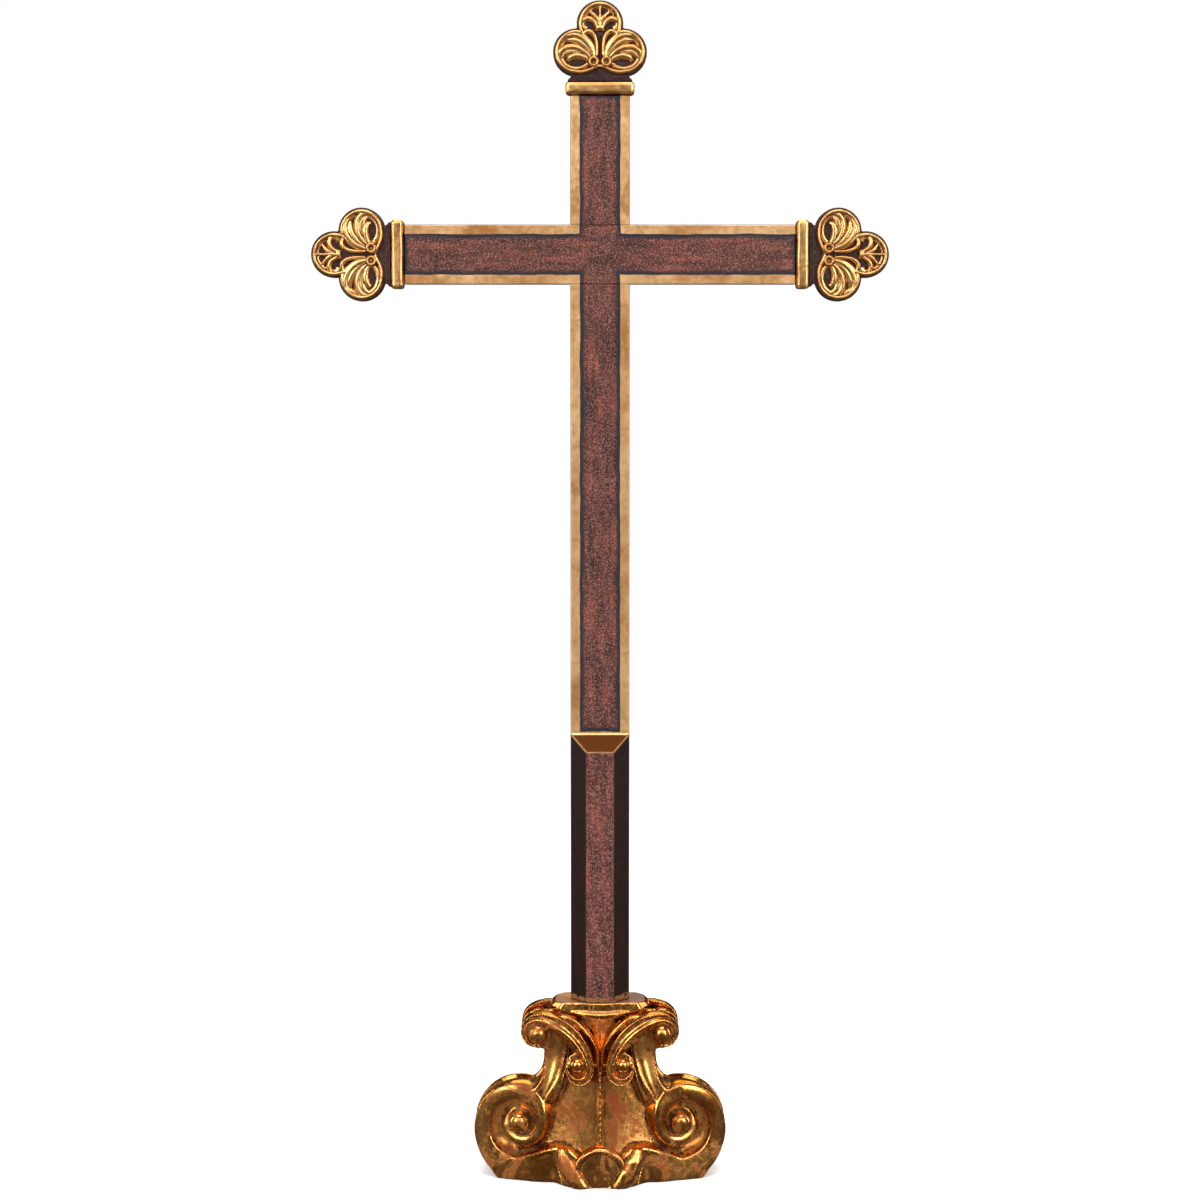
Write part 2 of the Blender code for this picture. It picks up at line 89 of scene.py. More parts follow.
# Draws the section along a path of (x, z, half width, height) in mm, standing forward of level(x, z)
def sweep(form, path, section, sunk=0.5, level=None):
    ring = list(section) + [(1, None), (-1, None)]
    path = np.array(path, float)
    made = bmesh.ops.create_grid(form, x_segments=len(ring), y_segments=len(path) - 1, size=1)["verts"]
    across = np.gradient(path[:, :2], axis=0)
    across /= np.maximum(np.linalg.norm(across, axis=1), 1e-9)[:, None]
    for row, (x, z, width, height) in enumerate(path):
        normal = (-across[row][1], across[row][0])
        for column in range(len(ring) + 1):
            side, up = ring[column % len(ring)]
            px, pz = x + side * width * normal[0], z + side * width * normal[1]
            base = level(px, pz) if level else 0
            depth = base + (-sunk if up is None else up * height)
            made[row * (len(ring) + 1) + column].co = Vector((px, -depth, pz)) * mm
    bmesh.ops.remove_doubles(form, verts=made, dist=mm / 1000)
    rims = [edge for edge in form.edges if edge.is_boundary]
    bmesh.ops.holes_fill(form, edges=rims)


def addBall(form, place, size, squash=(1, 1, 1), detail=3):
    made = bmesh.ops.create_icosphere(form, subdivisions=detail, radius=size * mm)["verts"]
    bmesh.ops.scale(form, verts=made, vec=squash)
    bmesh.ops.translate(form, verts=made, vec=Vector(place) * mm)


def addDisc(form, place, radius, back, front, sides=64):
    made = bmesh.ops.create_cone(form, cap_ends=True, segments=sides, radius1=radius * mm,
                                 radius2=radius * mm, depth=(front - back) * mm)["verts"]
    bmesh.ops.rotate(form, verts=made, cent=(0, 0, 0), matrix=Matrix.Rotation(math.pi / 2, 3, "X"))
    bmesh.ops.translate(form, verts=made, vec=Vector((place[0], -(front + back) / 2, place[1])) * mm)


# A flat slab with this (x, z) outline, half thick to each side of y = 0
def addSlab(form, outline, half):
    face = form.faces.new([form.verts.new(Vector((x, half, z)) * mm) for x, z in outline])
    grown = bmesh.ops.extrude_face_region(form, geom=[face])["geom"]
    fresh = [item for item in grown if isinstance(item, bmesh.types.BMVert)]
    bmesh.ops.translate(form, verts=fresh, vec=(0, -2 * half * mm, 0))


def roundEdges(form, size, segments):
    bmesh.ops.bevel(form, geom=form.edges[:], offset=size * mm, segments=segments, affect="EDGES",
                    profile=0.5, material=-1)


# Turns the piece's modifiers into its mesh
def applied(piece):
    graph = bpy.context.evaluated_depsgraph_get()
    shaped = bpy.data.meshes.new_from_object(piece.evaluated_get(graph))
    piece.modifiers.clear()
    piece.data = shaped
    return piece


def toPiece(name, form):
    bmesh.ops.recalc_face_normals(form, faces=form.faces)
    mesh = bpy.data.meshes.new(name)
    form.to_mesh(mesh)
    form.free()
    piece = bpy.data.objects.new(name, mesh)
    scene.collection.objects.link(piece)
    return piece


# One even skin over everything in the piece, with its edges rubbed down
def reskin(piece, voxel, rounds=2):
    skin = piece.modifiers.new("skin", "REMESH")
    skin.mode = "VOXEL"
    skin.voxel_size = voxel * mm
    if rounds:
        rub = piece.modifiers.new("rub", "SMOOTH")
        rub.factor = 0.5
        rub.iterations = rounds
    return applied(piece)


def readPoints(mesh, kind):
    values = np.empty(len(mesh.vertices) * 3)
    mesh.vertices.foreach_get(kind, values)
    return values.reshape(-1, 3)


# move takes arrays of places and normals in mm and gives the new places
def reshape(piece, move):
    mesh = piece.data
    moved = move(readPoints(mesh, "co") / mm, readPoints(mesh, "normal"))
    mesh.vertices.foreach_set("co", (moved * mm).ravel())
    mesh.update()
    return piece


def mirrored(piece, name, x=1, y=1):
    twin = piece.copy()
    twin.data = piece.data.copy()
    twin.name = twin.data.name = name
    scene.collection.objects.link(twin)
    form = bmesh.new()
    form.from_mesh(twin.data)
    bmesh.ops.scale(form, verts=form.verts, vec=(x, y, 1))
    if x * y < 0:
        bmesh.ops.reverse_faces(form, faces=form.faces)
    form.to_mesh(twin.data)
    form.free()
    return twin


# Slow waves that keep a surface from being machine true
def handWork(places, amount, scale, seed):
    wave = np.zeros(len(places))
    for turn in range(3):
        angle = seed * 1.7 + turn * 2.1
        along = places @ np.array([math.cos(angle), math.sin(angle * 1.3), math.sin(angle)])
        wave += np.sin(along / scale * (1 + 0.37 * turn) + seed * 3.1 + turn)
    return wave[:, None] / 3 * amount


def roughen(piece, amount, scale, seed):
    return reshape(piece, lambda places, normals: places + normals * handWork(places, amount, scale, seed))


# Stores how hollow or how exposed each point is, for the wax patina and painted shade in the hollows and for
# the rubbed edges
def markHollows(piece, reach=(3, 14)):
    mesh = piece.data
    count = len(mesh.vertices)
    places, normals = readPoints(mesh, "co") / mm, readPoints(mesh, "normal")
    edges = np.empty(len(mesh.edges) * 2, int)
    mesh.edges.foreach_get("vertices", edges)
    edges = edges.reshape(-1, 2)
    degree = np.maximum(np.bincount(edges.ravel(), minlength=count), 1)

    def spread(values):
        total = np.zeros_like(values)
        for column in range(values.shape[1]):
            total[:, column] = np.bincount(edges[:, 0], values[edges[:, 1], column], count)
            total[:, column] += np.bincount(edges[:, 1], values[edges[:, 0], column], count)
        return total / degree[:, None]

    calm = places
    rounds = 0
    marks = []
    for stop in reach:
        while rounds < stop:
            calm = calm * 0.4 + spread(calm) * 0.6
            rounds += 1
        marks.append(((calm - places) * normals).sum(1))
    for label, mark in zip(("fineHollow", "wideHollow"), marks):
        soft = mark[:, None]
        for turn in range(2):
            soft = soft * 0.4 + spread(soft) * 0.6
        layer = mesh.attributes.new(label, "FLOAT", "POINT")
        layer.data.foreach_set("value", soft[:, 0].astype(np.float32))


def finishCarved(piece, nodes):
    for polygon in piece.data.polygons:
        polygon.use_smooth = True
    for vertex in piece.data.vertices:
        vertex.co.z = max(vertex.co.z, 0.0)  # nothing below the table
    markHollows(piece)
    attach(piece, "root")
    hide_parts(*nodes)
    return piece


print("trefoil ends")
finial = {
    "length": 40.4, "lobe": 11.7, "spread": 11.85, "rise": 14.8, "neck": 14.3, "flare": 16.4,
    "rimWidth": 1.12, "rimHeight": 2.2, "leafWidth": 1.4, "curl": (3.2, 9.9), "curlRing": 2.0,
    "curlHalf": 1.05, "voxel": 0.24, "boardVoxel": 0.4, "collarBevel": 1.7, "collarWaves": (0.12, 2.6, 2),
}


def lobeArc(centre, radius, start, end, steps):
    angles = np.radians(np.linspace(start, end, steps))
    return [(centre[0] + radius * math.cos(a), centre[1] + radius * math.sin(a)) for a in angles]


# Three lobes on a neck that flares to the collar
def trefoilBoard():
    form = bmesh.new()
    head = finial["length"] - finial["lobe"]
    centres = [(finial["spread"], finial["rise"]), (-finial["spread"], finial["rise"]), (0, head)]
    for centre in centres:
        addDisc(form, centre, finial["lobe"], -halfPlank, halfPlank)
    neck = [(0.25, finial["flare"], halfPlank + 1.1), (0.9, finial["flare"] - 0.1, halfPlank + 1.0),
            (1.6, finial["neck"] + 1.1, halfPlank + 0.5), (2.6, finial["neck"] + 0.3, halfPlank + 0.1),
            (4.2, finial["neck"], halfPlank), (7, finial["neck"], halfPlank), (13, 12, halfPlank)]
    square = [(-1, 1), (1, 1), (1, -1), (-1, -1)]
    made = bmesh.ops.create_grid(form, x_segments=4, y_segments=len(neck) - 1, size=1)["verts"]
    for row, (rise, half, thick) in enumerate(neck):
        for column in range(5):
            side, up = square[column % 4]
            made[row * 5 + column].co = Vector((side * half, -up * thick, rise)) * mm
    bmesh.ops.remove_doubles(form, verts=made, dist=mm / 1000)
    bmesh.ops.holes_fill(form, edges=[edge for edge in form.edges if edge.is_boundary])
    return reskin(toPiece("trefoilBoard", form), finial["boardVoxel"], 3)


# The gilded carving: a rounded rim, two curls and the leaves that spring from them
def trefoilRelief():
    form = bmesh.new()
    side = (finial["spread"], finial["rise"])
    head = (0, finial["length"] - finial["lobe"])
    wide, high = finial["rimWidth"], finial["rimHeight"]
    middle = finial["lobe"] - 0.75 - wide
    front = halfPlank

    def level(x, z):
        return front

    def strand(knots, section=roundSection, steps=7):
        path = smoothPath(knots, steps)
        for flip in (1, -1):
            turned = path * np.array([flip, 1, 1, 1])
            sweep(form, turned if flip > 0 else turned[::-1], section, level=level)

    base = [(0.2, 8.1, wide, high * 0.8), (2.6, 7.0, wide, high), (6.0, 5.5, wide, high),
            (9.4, 4.75, wide, high)]
    lobe = [(x, z, wide, high) for x, z in lobeArc(side, middle, -76, 96, 12)]
    strand(base + lobe + [(9.6, 24.0, wide * 0.8, high * 0.8), (8.0, 22.6, wide * 0.5, high * 0.5)], steps=4)
    crown = [(x, z, wide, high) for x, z in lobeArc(head, middle, -14, 90, 9)]
    strand([(7.0, 21.6, 0.5, 1.2), (8.9, 24.2, wide, high * 0.9)] + crown, steps=4)
    shelf = middle - 1.5
    strand([(x, z, 1.2, 0.95) for x, z in lobeArc(side, shelf, -150, 100, 12)], steps=4)
    strand([(x, z, 1.0, 0.9) for x, z in lobeArc(head, shelf + 0.2, -25, 90, 8)], steps=4)
    curlX, curlZ = finial["curl"]
    ring = lobeArc(finial["curl"], finial["curlRing"], -60, 300, 13)
    strand([(x, z, finial["curlHalf"], 2.9) for x, z in ring], steps=3)
    strand([(curlX, curlZ + rise, 1.1, 0.9) for rise in (-0.9, 0.9)])
    leaves = [
        [(5.0, 10.6, 0.9, 1.8), (8.2, 12.3, 1.25, 1.9), (11.8, 12.9, 1.4, 2.0), (14.9, 11.9, 1.2, 1.7),
         (15.9, 10.0, 0.6, 1.0)],
        [(4.6, 11.6, 0.8, 1.8), (7.4, 14.6, 1.1, 2.1), (11.4, 16.7, 1.25, 2.2), (16.0, 17.0, 1.3, 2.1),
         (19.6, 15.0, 1.2, 2.0), (20.7, 11.9, 0.8, 1.3)],
        [(5.0, 11.3, 0.8, 1.6), (8.8, 14.0, 1.3, 1.6), (13.0, 15.0, 1.5, 1.6), (17.0, 14.2, 1.5, 1.6),
         (19.2, 11.9, 0.9, 1.0)],
        [(2.7, 12.2, 0.8, 1.9), (4.7, 17.2, 1.1, 2.2), (8.0, 21.0, 1.2, 2.3), (12.0, 23.0, 1.3, 2.3),
         (16.2, 22.6, 1.1, 2.0), (19.4, 20.2, 0.7, 1.2)],
        [(3.5, 12.1, 0.8, 1.7), (6.2, 16.3, 1.1, 1.8), (9.6, 19.3, 1.3, 1.9), (13.0, 20.8, 1.3, 1.7),
         (16.6, 20.8, 0.8, 1.1)],
        [(2.3, 12.4, 0.7, 1.7), (3.9, 17.4, 1.0, 1.9), (6.2, 20.8, 1.1, 2.0), (8.8, 23.2, 0.9, 1.8)],
        [(1.5, 12.8, 0.6, 1.9), (1.55, 18.0, 0.7, 2.0), (2.5, 22.2, 0.9, 2.1), (4.8, 24.7, 1.0, 2.1),
         (7.3, 24.5, 0.95, 1.9), (8.4, 22.8, 0.6, 1.4)],
        [(1.2, 26.6, 0.8, 1.9), (3.2, 29.9, 1.0, 2.1), (6.0, 31.2, 1.1, 2.1), (8.7, 30.3, 0.9, 1.7)],
        [(7.2, 25.9, 1.5, 1.1), (9.0, 27.6, 1.0, 1.1)],
        [(0.2, 28.6, 0.9, 1.7), (1.8, 32.0, 0.85, 1.9), (4.9, 34.6, 0.6, 1.3)],
    ]
    for knots in leaves:
        strand([(x, z, width * finial["leafWidth"], height) for x, z, width, height in knots])
    stem = smoothPath([(0, 27, 1.3, 1.8), (0, 30.5, 1.0, 1.9), (0, 34, 0.75, 1.8), (0, 38.6, 0.6, 1.7)])
    sweep(form, stem, roundSection, level=level)
    addBall(form, (0, -front - 0.6, 26.6), 1.6, (1.5, 1.1, 1.05))
    for flip in (-1, 1):
        addBall(form, (flip * 1.3, -front - 0.4, 26.0), 1.2)
    return reskin(toPiece("trefoilRelief", form), finial["voxel"], 2)


# A rounded bar across the member, a little uneven from the file
def collarBar():
    low, high = boxMm("collar_top")
    form = bmesh.new()
    bmesh.ops.create_cube(form, size=1)
    bmesh.ops.scale(form, verts=form.verts, vec=(high - low) * mm)
    roundEdges(form, finial["collarBevel"], 5)
    bar = reskin(toPiece("collarBar", form), finial["boardVoxel"], 2)
    return roughen(bar, *finial["collarWaves"])


# Stands a copy of an upright end piece on its arm
def placeEnd(shape, name, seat, turn):
    piece = mirrored(shape, name)
    form = bmesh.new()
    form.from_mesh(piece.data)
    turned = Matrix.Rotation(math.radians(turn), 3, "Y")
    bmesh.ops.rotate(form, verts=form.verts, cent=(0, 0, 0), matrix=turned)
    bmesh.ops.translate(form, verts=form.verts, vec=Vector(seat) * mm)
    form.to_mesh(piece.data)
    form.free()
    return piece


boards, reliefs, collars = [], [], []
endShapes = {"board": trefoilBoard(), "relief": trefoilRelief(), "collar": collarBar()}
topCollar = boxMm("collar_top")[1].z
armCollar = boxMm("collar_right")[1].x
halfCollar = (topCollar - boxMm("collar_top")[0].z) / 2
ends = {  # seat and turn of each
    "top": ((0, 0, topCollar), 0),
    "left": ((-armCollar, 0, crossing), -90),
    "right": ((armCollar, 0, crossing), 90),
}
for label, (seat, turn) in ends.items():
    away = Vector((math.sin(math.radians(turn)), 0, math.cos(math.radians(turn))))
    board = placeEnd(endShapes["board"], "trefoilBoard_" + label, seat, turn)
    boards.append(finishCarved(board, ["finial_board_" + label]))
    relief = placeEnd(endShapes["relief"], "trefoilRelief_" + label, seat, turn)
    reliefs.append(finishCarved(relief, ["finial_ornament_" + label]))
    collar = placeEnd(endShapes["collar"], "collar_" + label + "Band", Vector(seat) - away * halfCollar, turn)
    collars.append(finishCarved(collar, ["collar_" + label]))
for shape in endShapes.values():
    bpy.data.objects.remove(shape)
print("ends done", [len(piece.data.polygons) for piece in (boards[0], reliefs[0], collars[0])])

print("foot")
foot = {
    "bodyVoxel": 0.6, "strapVoxel": 0.42, "slabHalf": 10,
    "eye": (41.8, 29.0), "eyeRadius": 5.3, "capEye": (31.7, 75.9), "capEyeRadius": 5.0,
    "prow": 28.0, "neckDepth": 12.5, "flare": 1.45, "fall": 0.66, "hollow": 0.0085, "neckTuck": 3.4,
    "coveDepth": 4.6, "ringSwell": 2.0, "startDepth": 4.2, "crown": 0.8, "channelDepth": 2.6, "fillet": 3.0,
    "furthest": 28.3, "waves": (0.24, 7.0, 4), "coreTuck": 0.8,
}
eyeX, eyeZ = foot["eye"]
# Turns of the lower scroll, clockwise from its top: degrees, then the radius of each edge
hollowEdge = np.array([(-225, 5.4), (-180, 5.7), (-135, 6.6), (-90, 7.9), (-45, 10.2), (0, 12.3), (45, 13.4),
                       (90, 14.9), (135, 17.3), (180, 17.9), (215, 17.6)])
ringEdge = np.array([(-460, 5.3), (-405, 6.3), (-360, 6.9), (-315, 7.2), (-270, 7.7), (-225, 9.4),
                     (-180, 11.3), (-135, 12.9), (-90, 13.9), (-45, 17.2), (0, 20.3)])
lipEdge = np.array([(10, 14.6), (13.5, 17.2), (16, 18.8), (20, 19.3), (24, 18.8), (28, 17.6), (32, 15.8),
                    (37, 13.6), (42, 11.5), (47, 11.2)])


def coreHalf(z):
    return 15.6 + 3.9 * (1 - z / footTop) + 9.8 * np.exp(-(((z - 25) / 17) ** 2))


def facetDepth(x, z):  # the middle block: a sharp ridge with a hollow facet on each side
    climb = np.clip(1 - z / footTop, 0, 1)
    ridge = foot["neckDepth"] + (foot["prow"] - foot["neckDepth"]) * climb ** foot["flare"]
    crest = 0.9 * np.exp(-((x / 1.3) ** 2)) * ramp(-z, -66, -56)
    return ridge - foot["fall"] * x + foot["hollow"] * x**2 + crest


def planeDepth(x, z):  # the flat front of the scrolls, which splay back and outwards
    return 12.5 + 0.25 * (48 - x) - 0.07 * z + 0.07 * np.maximum(20 - z, 0)


def carvedLine(knots):  # a smooth line that gives x for each z
    path = smoothPath([(x, z) for z, x in knots], 6)
    return path[:, 1], path[:, 0]


neckRidge = carvedLine([(41, 28.4), (46, 25.3), (51.5, 22), (58, 19.4), (66, 17.6), (74, 17.3), (84, 17.3)])
facetRidge = carvedLine([(20.5, 31), (25, 27.8), (31, 25.8), (36, 24.6), (42, 22.8), (50, 19.5), (60, 16.8),
                         (69, 16), (84, 15.6)])
leafLine = carvedLine([(-3, 8.2), (0, 9.6), (3.5, 11.6), (8, 14.3), (13, 16.9), (18, 19.2)])


def hump(across):
    return np.sqrt(np.clip(1 - across**2, 0, 1))


def footDepth(x, z):  # how far forward the front of the foot stands
    x = np.abs(x)
    plane, facet = planeDepth(x, z), facetDepth(x, z)
    crease = np.interp(x, *lipEdge.T)
    away, up = x - eyeX, z - eyeZ
    reach = np.hypot(away, up)
    turn = np.degrees(np.arctan2(away, up)) % 360
    earlier = turn - 360
    outerHollow = np.interp(turn, *hollowEdge.T)
    innerHollow = np.where(earlier > -225, np.interp(earlier, *hollowEdge.T), foot["eyeRadius"])
    ring = np.interp(earlier, *ringEdge.T)

    # the facet runs out into the cove under the last turn
    coveFloor = plane - foot["coveDepth"] - 1.2
    inside = facet + (coveFloor - facet) * ramp(x, 27, 38)
    firstRidge, secondRidge = np.interp(z, *neckRidge), np.interp(z, *facetRidge)
    inside += 1.7 * ramp(z, 21, 31) * ramp(-z, -56, -40) * np.exp(-(((x - secondRidge) / 0.8) ** 2))
    flank = plane + 0.6 - 2.0 * (reach - ring)
    inside = np.where(turn > 165, np.maximum(inside, np.minimum(flank, plane)), inside)

    # the neck: a hollow panel, a sharp ridge, then a channel down to the second ridge
    outer = np.interp(z, [40, 45, 50, 60, 68, 76], [37, 33, 30.5, 28.6, 28, 28])
    share = np.clip((x - firstRidge) / np.maximum(outer - firstRidge, 1), 0, 1)
    tuck = foot["neckTuck"] * ramp(z, 48, 64)
    panel = plane - tuck - 2.3 * np.sin(np.pi * share) ** 0.7 - 0.7 * ramp(z, 43, 50) * share
    across = np.clip((x - secondRidge) / np.maximum(firstRidge - secondRidge, 0.5), 0, 1)
    lower = plane - tuck - 1.5
    channel = lower + (plane - tuck - lower) * across - 1.7 * np.sin(np.pi * across)
    channel -= 2.0 * ramp(-z, -44, -37) * np.sin(np.pi * across)
    wall = inside + (lower - inside) * np.exp(-np.maximum(secondRidge - x, 0) / 0.7)
    neck = np.where(x > firstRidge, panel, np.where(x > secondRidge, channel, wall))
    neckShare = ramp(z, 37, 42)
    inside = inside + (np.maximum(neck, inside) - inside) * neckShare
    outerBand = (x > eyeX) & (reach > outerHollow)
    depth = np.where((turn > 165) & (reach > ring) & ~outerBand, inside, plane)
    depth = np.where((turn <= 165) & (z > 38) & (x < 34), inside, depth)

    # the outer band is a little crowned
    rimReach = np.interp(turn, [0, 30, 60, 90, 120, 150, 180], [19.7, 20.6, 21.6, 22.7, 25.2, 28.8, 31])
    bandShare = np.clip((reach - outerHollow) / (rimReach - outerHollow), 0, 1)
    crowned = depth + foot["crown"] * (1 - (2 * bandShare - 1) ** 2 - 0.4) * ramp(-turn, -180, -150)
    depth = np.where((turn < 180) & (reach > outerHollow), crowned, depth)

    # the last turn swells into a rounded ring, with a cove outside it
    ringShare = np.clip((reach - innerHollow) / np.maximum(ring - innerHollow, 0.4), 0, 1)
    fade = ramp(-earlier, 5, 80) * ramp(earlier, -260, -170)
    swell = foot["ringSwell"] * fade * (hump(2 * ringShare - 1) - 0.2)
    swell -= foot["startDepth"] * (1 - ramp(earlier, -352, -250))
    depth = np.where((reach < ring) & (reach >= innerHollow), plane + swell, depth)
    coveShare = np.clip((reach - ring) / np.maximum(outerHollow - ring, 0.4), 0, 1)
    cove = plane - (foot["startDepth"] + (foot["coveDepth"] - 2.2) * ramp(turn, 0, 80)) * hump(coveShare)
    cove = cove + (inside - cove) * ramp(turn, 165, 200)
    depth = np.where((reach >= ring) & (reach < outerHollow) & (turn < 200), cove, depth)
    eye = foot["eyeRadius"]
    startShare = np.clip((reach - eye) / np.maximum(innerHollow - eye, 0.05), 0, 1)
    start = plane - (0.8 + (foot["startDepth"] - 0.8) * ramp(earlier, -230, -60)) * hump(startShare)
    depth = np.where((reach < innerHollow) & (reach > eye), start, depth)

    # the lip along the floor comes forward to the middle and turns down into a leaf
    lip = np.interp(x, [9, 11, 18, 28, 45], [28, 27.6, 23.4, 18.6, 15.8])
    lip -= z * np.interp(x, [9, 18, 28, 45], [0.3, 0.24, 0.1, 0.09])
    lip = lip + (plane - lip) * ramp(x, 30, 41)
    lip -= 1.9 * np.exp(-(((x - 23.6) / 3.4) ** 2)) * ramp(-z, -16, -3)
    lip += 1.2 * np.exp(-(((crease - z - 1.4) / 1.6) ** 2)) * ramp(-x, -40, -26)
    depth = np.where((z < crease) & (x < eyeX), lip, depth)
    leafSize = np.interp(z, [0, 8, 14, 19], [4.4, 4.3, 3.6, 1.6])
    fromLeaf = (x - np.interp(z, *leafLine)) * 0.86
    leafTop = np.interp(z, [0, 8, 13, 18.5], [25.6, 24.6, 22.8, 19.6]) + 2.6 * hump(fromLeaf / leafSize)
    onShield = np.where(z > 9, (x / 13) ** 2 + ((z - 9) / 11.4) ** 2 < 1, x < 13)
    depth = np.where(onShield, np.minimum(depth, cartoucheField(x, z) - 3.2), depth)
    onLeaf = (np.abs(fromLeaf) < leafSize) & (z < 19)
    depth = np.where(onLeaf, np.maximum(leafTop, np.where(onShield, 0, depth)), depth)
    return np.minimum(depth, foot["furthest"])


def cartoucheField(x, z):
    return 25.9 - 0.05 * z + 1.9 * np.clip(1 - (x / 11) ** 2, 0, 1) * np.clip(1 - ((z - 8) / 14) ** 2, 0, 1)


def scrollOutline():
    inner = [(float(coreHalf(z)) - 2.0, z) for z in np.linspace(0, footTop - 0.3, 24)]
    cap = foot["capEye"]
    top = lobeArc((cap[0], cap[1] - 0.2), 8.9, 112, -112, 30)
    neck = [(29.0, 62.5), (28.9, 59), (29.6, 54.5), (31.0, 50.5)]
    turns = np.linspace(-22, 160, 56)
    radii = np.interp(turns, [-22, 0, 30, 60, 90, 120, 150, 160],
                      [19.2, 19.7, 20.6, 21.6, 22.7, 25.2, 28.8, 31.5])
    low = [(eyeX + r * math.sin(a), eyeZ + r * math.cos(a)) for r, a in zip(radii, np.radians(turns))]
    low = [spot for spot in low if spot[1] > 0.8]
    return inner + top + neck + low + [(low[-1][0] - 1.2, 0.0)]


def slabToFoot(places, normals):
    moved = places.copy()
    moved[:, 1] = places[:, 1] / foot["slabHalf"] * footDepth(places[:, 0], places[:, 2])
    return moved


# A rounded channel along the rims of the scrolls and the neck, between two fillets
def rimChannel(places, normals):
    reach = footDepth(places[:, 0], places[:, 2])
    flat = np.abs(normals[:, 1]) < 0.6
    outer = flat & (np.abs(places[:, 0]) > coreHalf(places[:, 2]) + 1) & (places[:, 2] > 3)
    half = np.maximum(reach - foot["fillet"], 3)
    spot = np.clip(np.abs(places[:, 1]) / half, 0, 1)
    depth = foot["channelDepth"] * np.sqrt(1 - spot**2) * outer * ramp(places[:, 2], 3, 9)
    sides = normals.copy()
    sides[:, 1] = 0
    sides /= np.maximum(np.linalg.norm(sides, axis=1), 1e-6)[:, None]
    return places - sides * depth[:, None]


def footScroll():
    form = bmesh.new()
    addSlab(form, scrollOutline(), foot["slabHalf"])
    piece = reskin(toPiece("footScroll_right", form), foot["bodyVoxel"], 1)
    reshape(piece, slabToFoot)
    reskin(piece, foot["bodyVoxel"], 2)
    reshape(piece, rimChannel)
    form = bmesh.new()
    form.from_mesh(piece.data)
    for facing in (-1, 1):
        face = float(planeDepth(eyeX, eyeZ))
        addBall(form, (eyeX, facing * (face - 2.2), eyeZ), foot["eyeRadius"], (1, 0.95, 1), 4)
    bmesh.ops.recalc_face_normals(form, faces=form.faces)
    form.to_mesh(piece.data)
    form.free()
    reskin(piece, foot["bodyVoxel"], 3)
    reshape(piece, lambda places, normals: recut(places, normals, 0))
    return roughen(piece, *foot["waves"])


def recut(places, normals, tuck):  # brings the smoothed front back to its cut edges
    away = np.hypot(np.abs(places[:, 0]) - eyeX, places[:, 2] - eyeZ)
    wanted = footDepth(places[:, 0], places[:, 2]) - tuck
    gap = wanted - np.abs(places[:, 1])
    near = (np.abs(normals[:, 1]) > 0.55) & (np.abs(gap) < 1.3) & (away > foot["eyeRadius"] + 0.5)
    moved = places.copy()
    moved[:, 1] += np.sign(places[:, 1]) * gap * 0.75 * near
    return moved


def coreTuck(places):  # the core stands a little behind the scrolls where they meet
    return foot["coreTuck"] * ramp(np.abs(places[:, 0]) - coreHalf(places[:, 2]), -2.2, 0)


def footCore():
    form = bmesh.new()
    right = [(float(coreHalf(z)) + 1.5, z) for z in np.linspace(0, footTop - 0.4, 24)]
    addSlab(form, right + [(-x, z) for x, z in reversed(right)], foot["slabHalf"])
    piece = reskin(toPiece("footCore", form), foot["bodyVoxel"], 0)

    def toCore(places, normals):
        moved = places.copy()
        front = footDepth(places[:, 0], places[:, 2]) - coreTuck(places)
        moved[:, 1] = places[:, 1] / foot["slabHalf"] * front
        return moved

    reshape(piece, toCore)
    reskin(piece, foot["bodyVoxel"], 2)
    reshape(piece, lambda places, normals: recut(places, normals, coreTuck(places)))
    washer = boxMm("tie_washer")[1]
    form = bmesh.new()
    for sides, radius, length in ((64, washer.x + 1.5, 2 * (washer.z + 0.4)), (32, 3.3, 300)):
        bmesh.ops.create_cone(form, cap_ends=True, segments=sides, radius1=radius * mm, radius2=radius * mm,
                              depth=length * mm)
    cutter = reskin(toPiece("recessCutter", form), 0.4, 0)
    cut = piece.modifiers.new("recess", "BOOLEAN")
    cut.operation = "DIFFERENCE"
    cut.solver = "MANIFOLD"
    cut.object = cutter
    applied(piece)
    bpy.data.objects.remove(cutter)
    piece.data.materials.clear()

    def roughFront(places, normals):
        return places + normals * handWork(places, *foot["waves"]) * (np.abs(normals[:, 1:2]) > 0.5)

    return reshape(piece, roughFront)


scrollRight = footScroll()
scrollLeft = mirrored(scrollRight, "footScroll_left", x=-1)
core = footCore()
finishCarved(scrollRight, ["scroll_right"])
finishCarved(scrollLeft, ["scroll_left"])
finishCarved(core, ["base_core"])
print("scrolls and core done", len(scrollRight.data.polygons), len(core.data.polygons))

print("straps, cap and cartouches")
strap = {"curl": (11.8, 61.5), "curlBall": 3.7, "waves": (0.12, 4.0, 3)}
# Middle of the band from under the upper ball to the tip of the curl: x, z, half width, height
strapLine = [
    (30.4, 69.9, 0.5, 2.2), (35.6, 70.6, 1.2, 2.8), (38.6, 74.6, 1.6, 3.0), (38.3, 79.6, 1.9, 3.1),
    (34.8, 83.0, 2.5, 3.2), (29.5, 83.7, 3.4, 3.3), (24.0, 82.0, 4.5, 3.4), (18.4, 78.8, 4.8, 3.5),
    (13.5, 74.5, 4.6, 3.6), (9.8, 69.6, 4.1, 3.6), (7.2, 64.6, 3.5, 3.6), (5.9, 60.0, 3.1, 3.6),
    (6.9, 55.9, 2.9, 3.6), (10.2, 53.9, 2.8, 3.6), (14.0, 55.0, 2.0, 3.4), (16.3, 58.0, 1.3, 3.0),
    (16.5, 61.4, 0.8, 2.5), (15.0, 64.3, 0.5, 1.8),
]
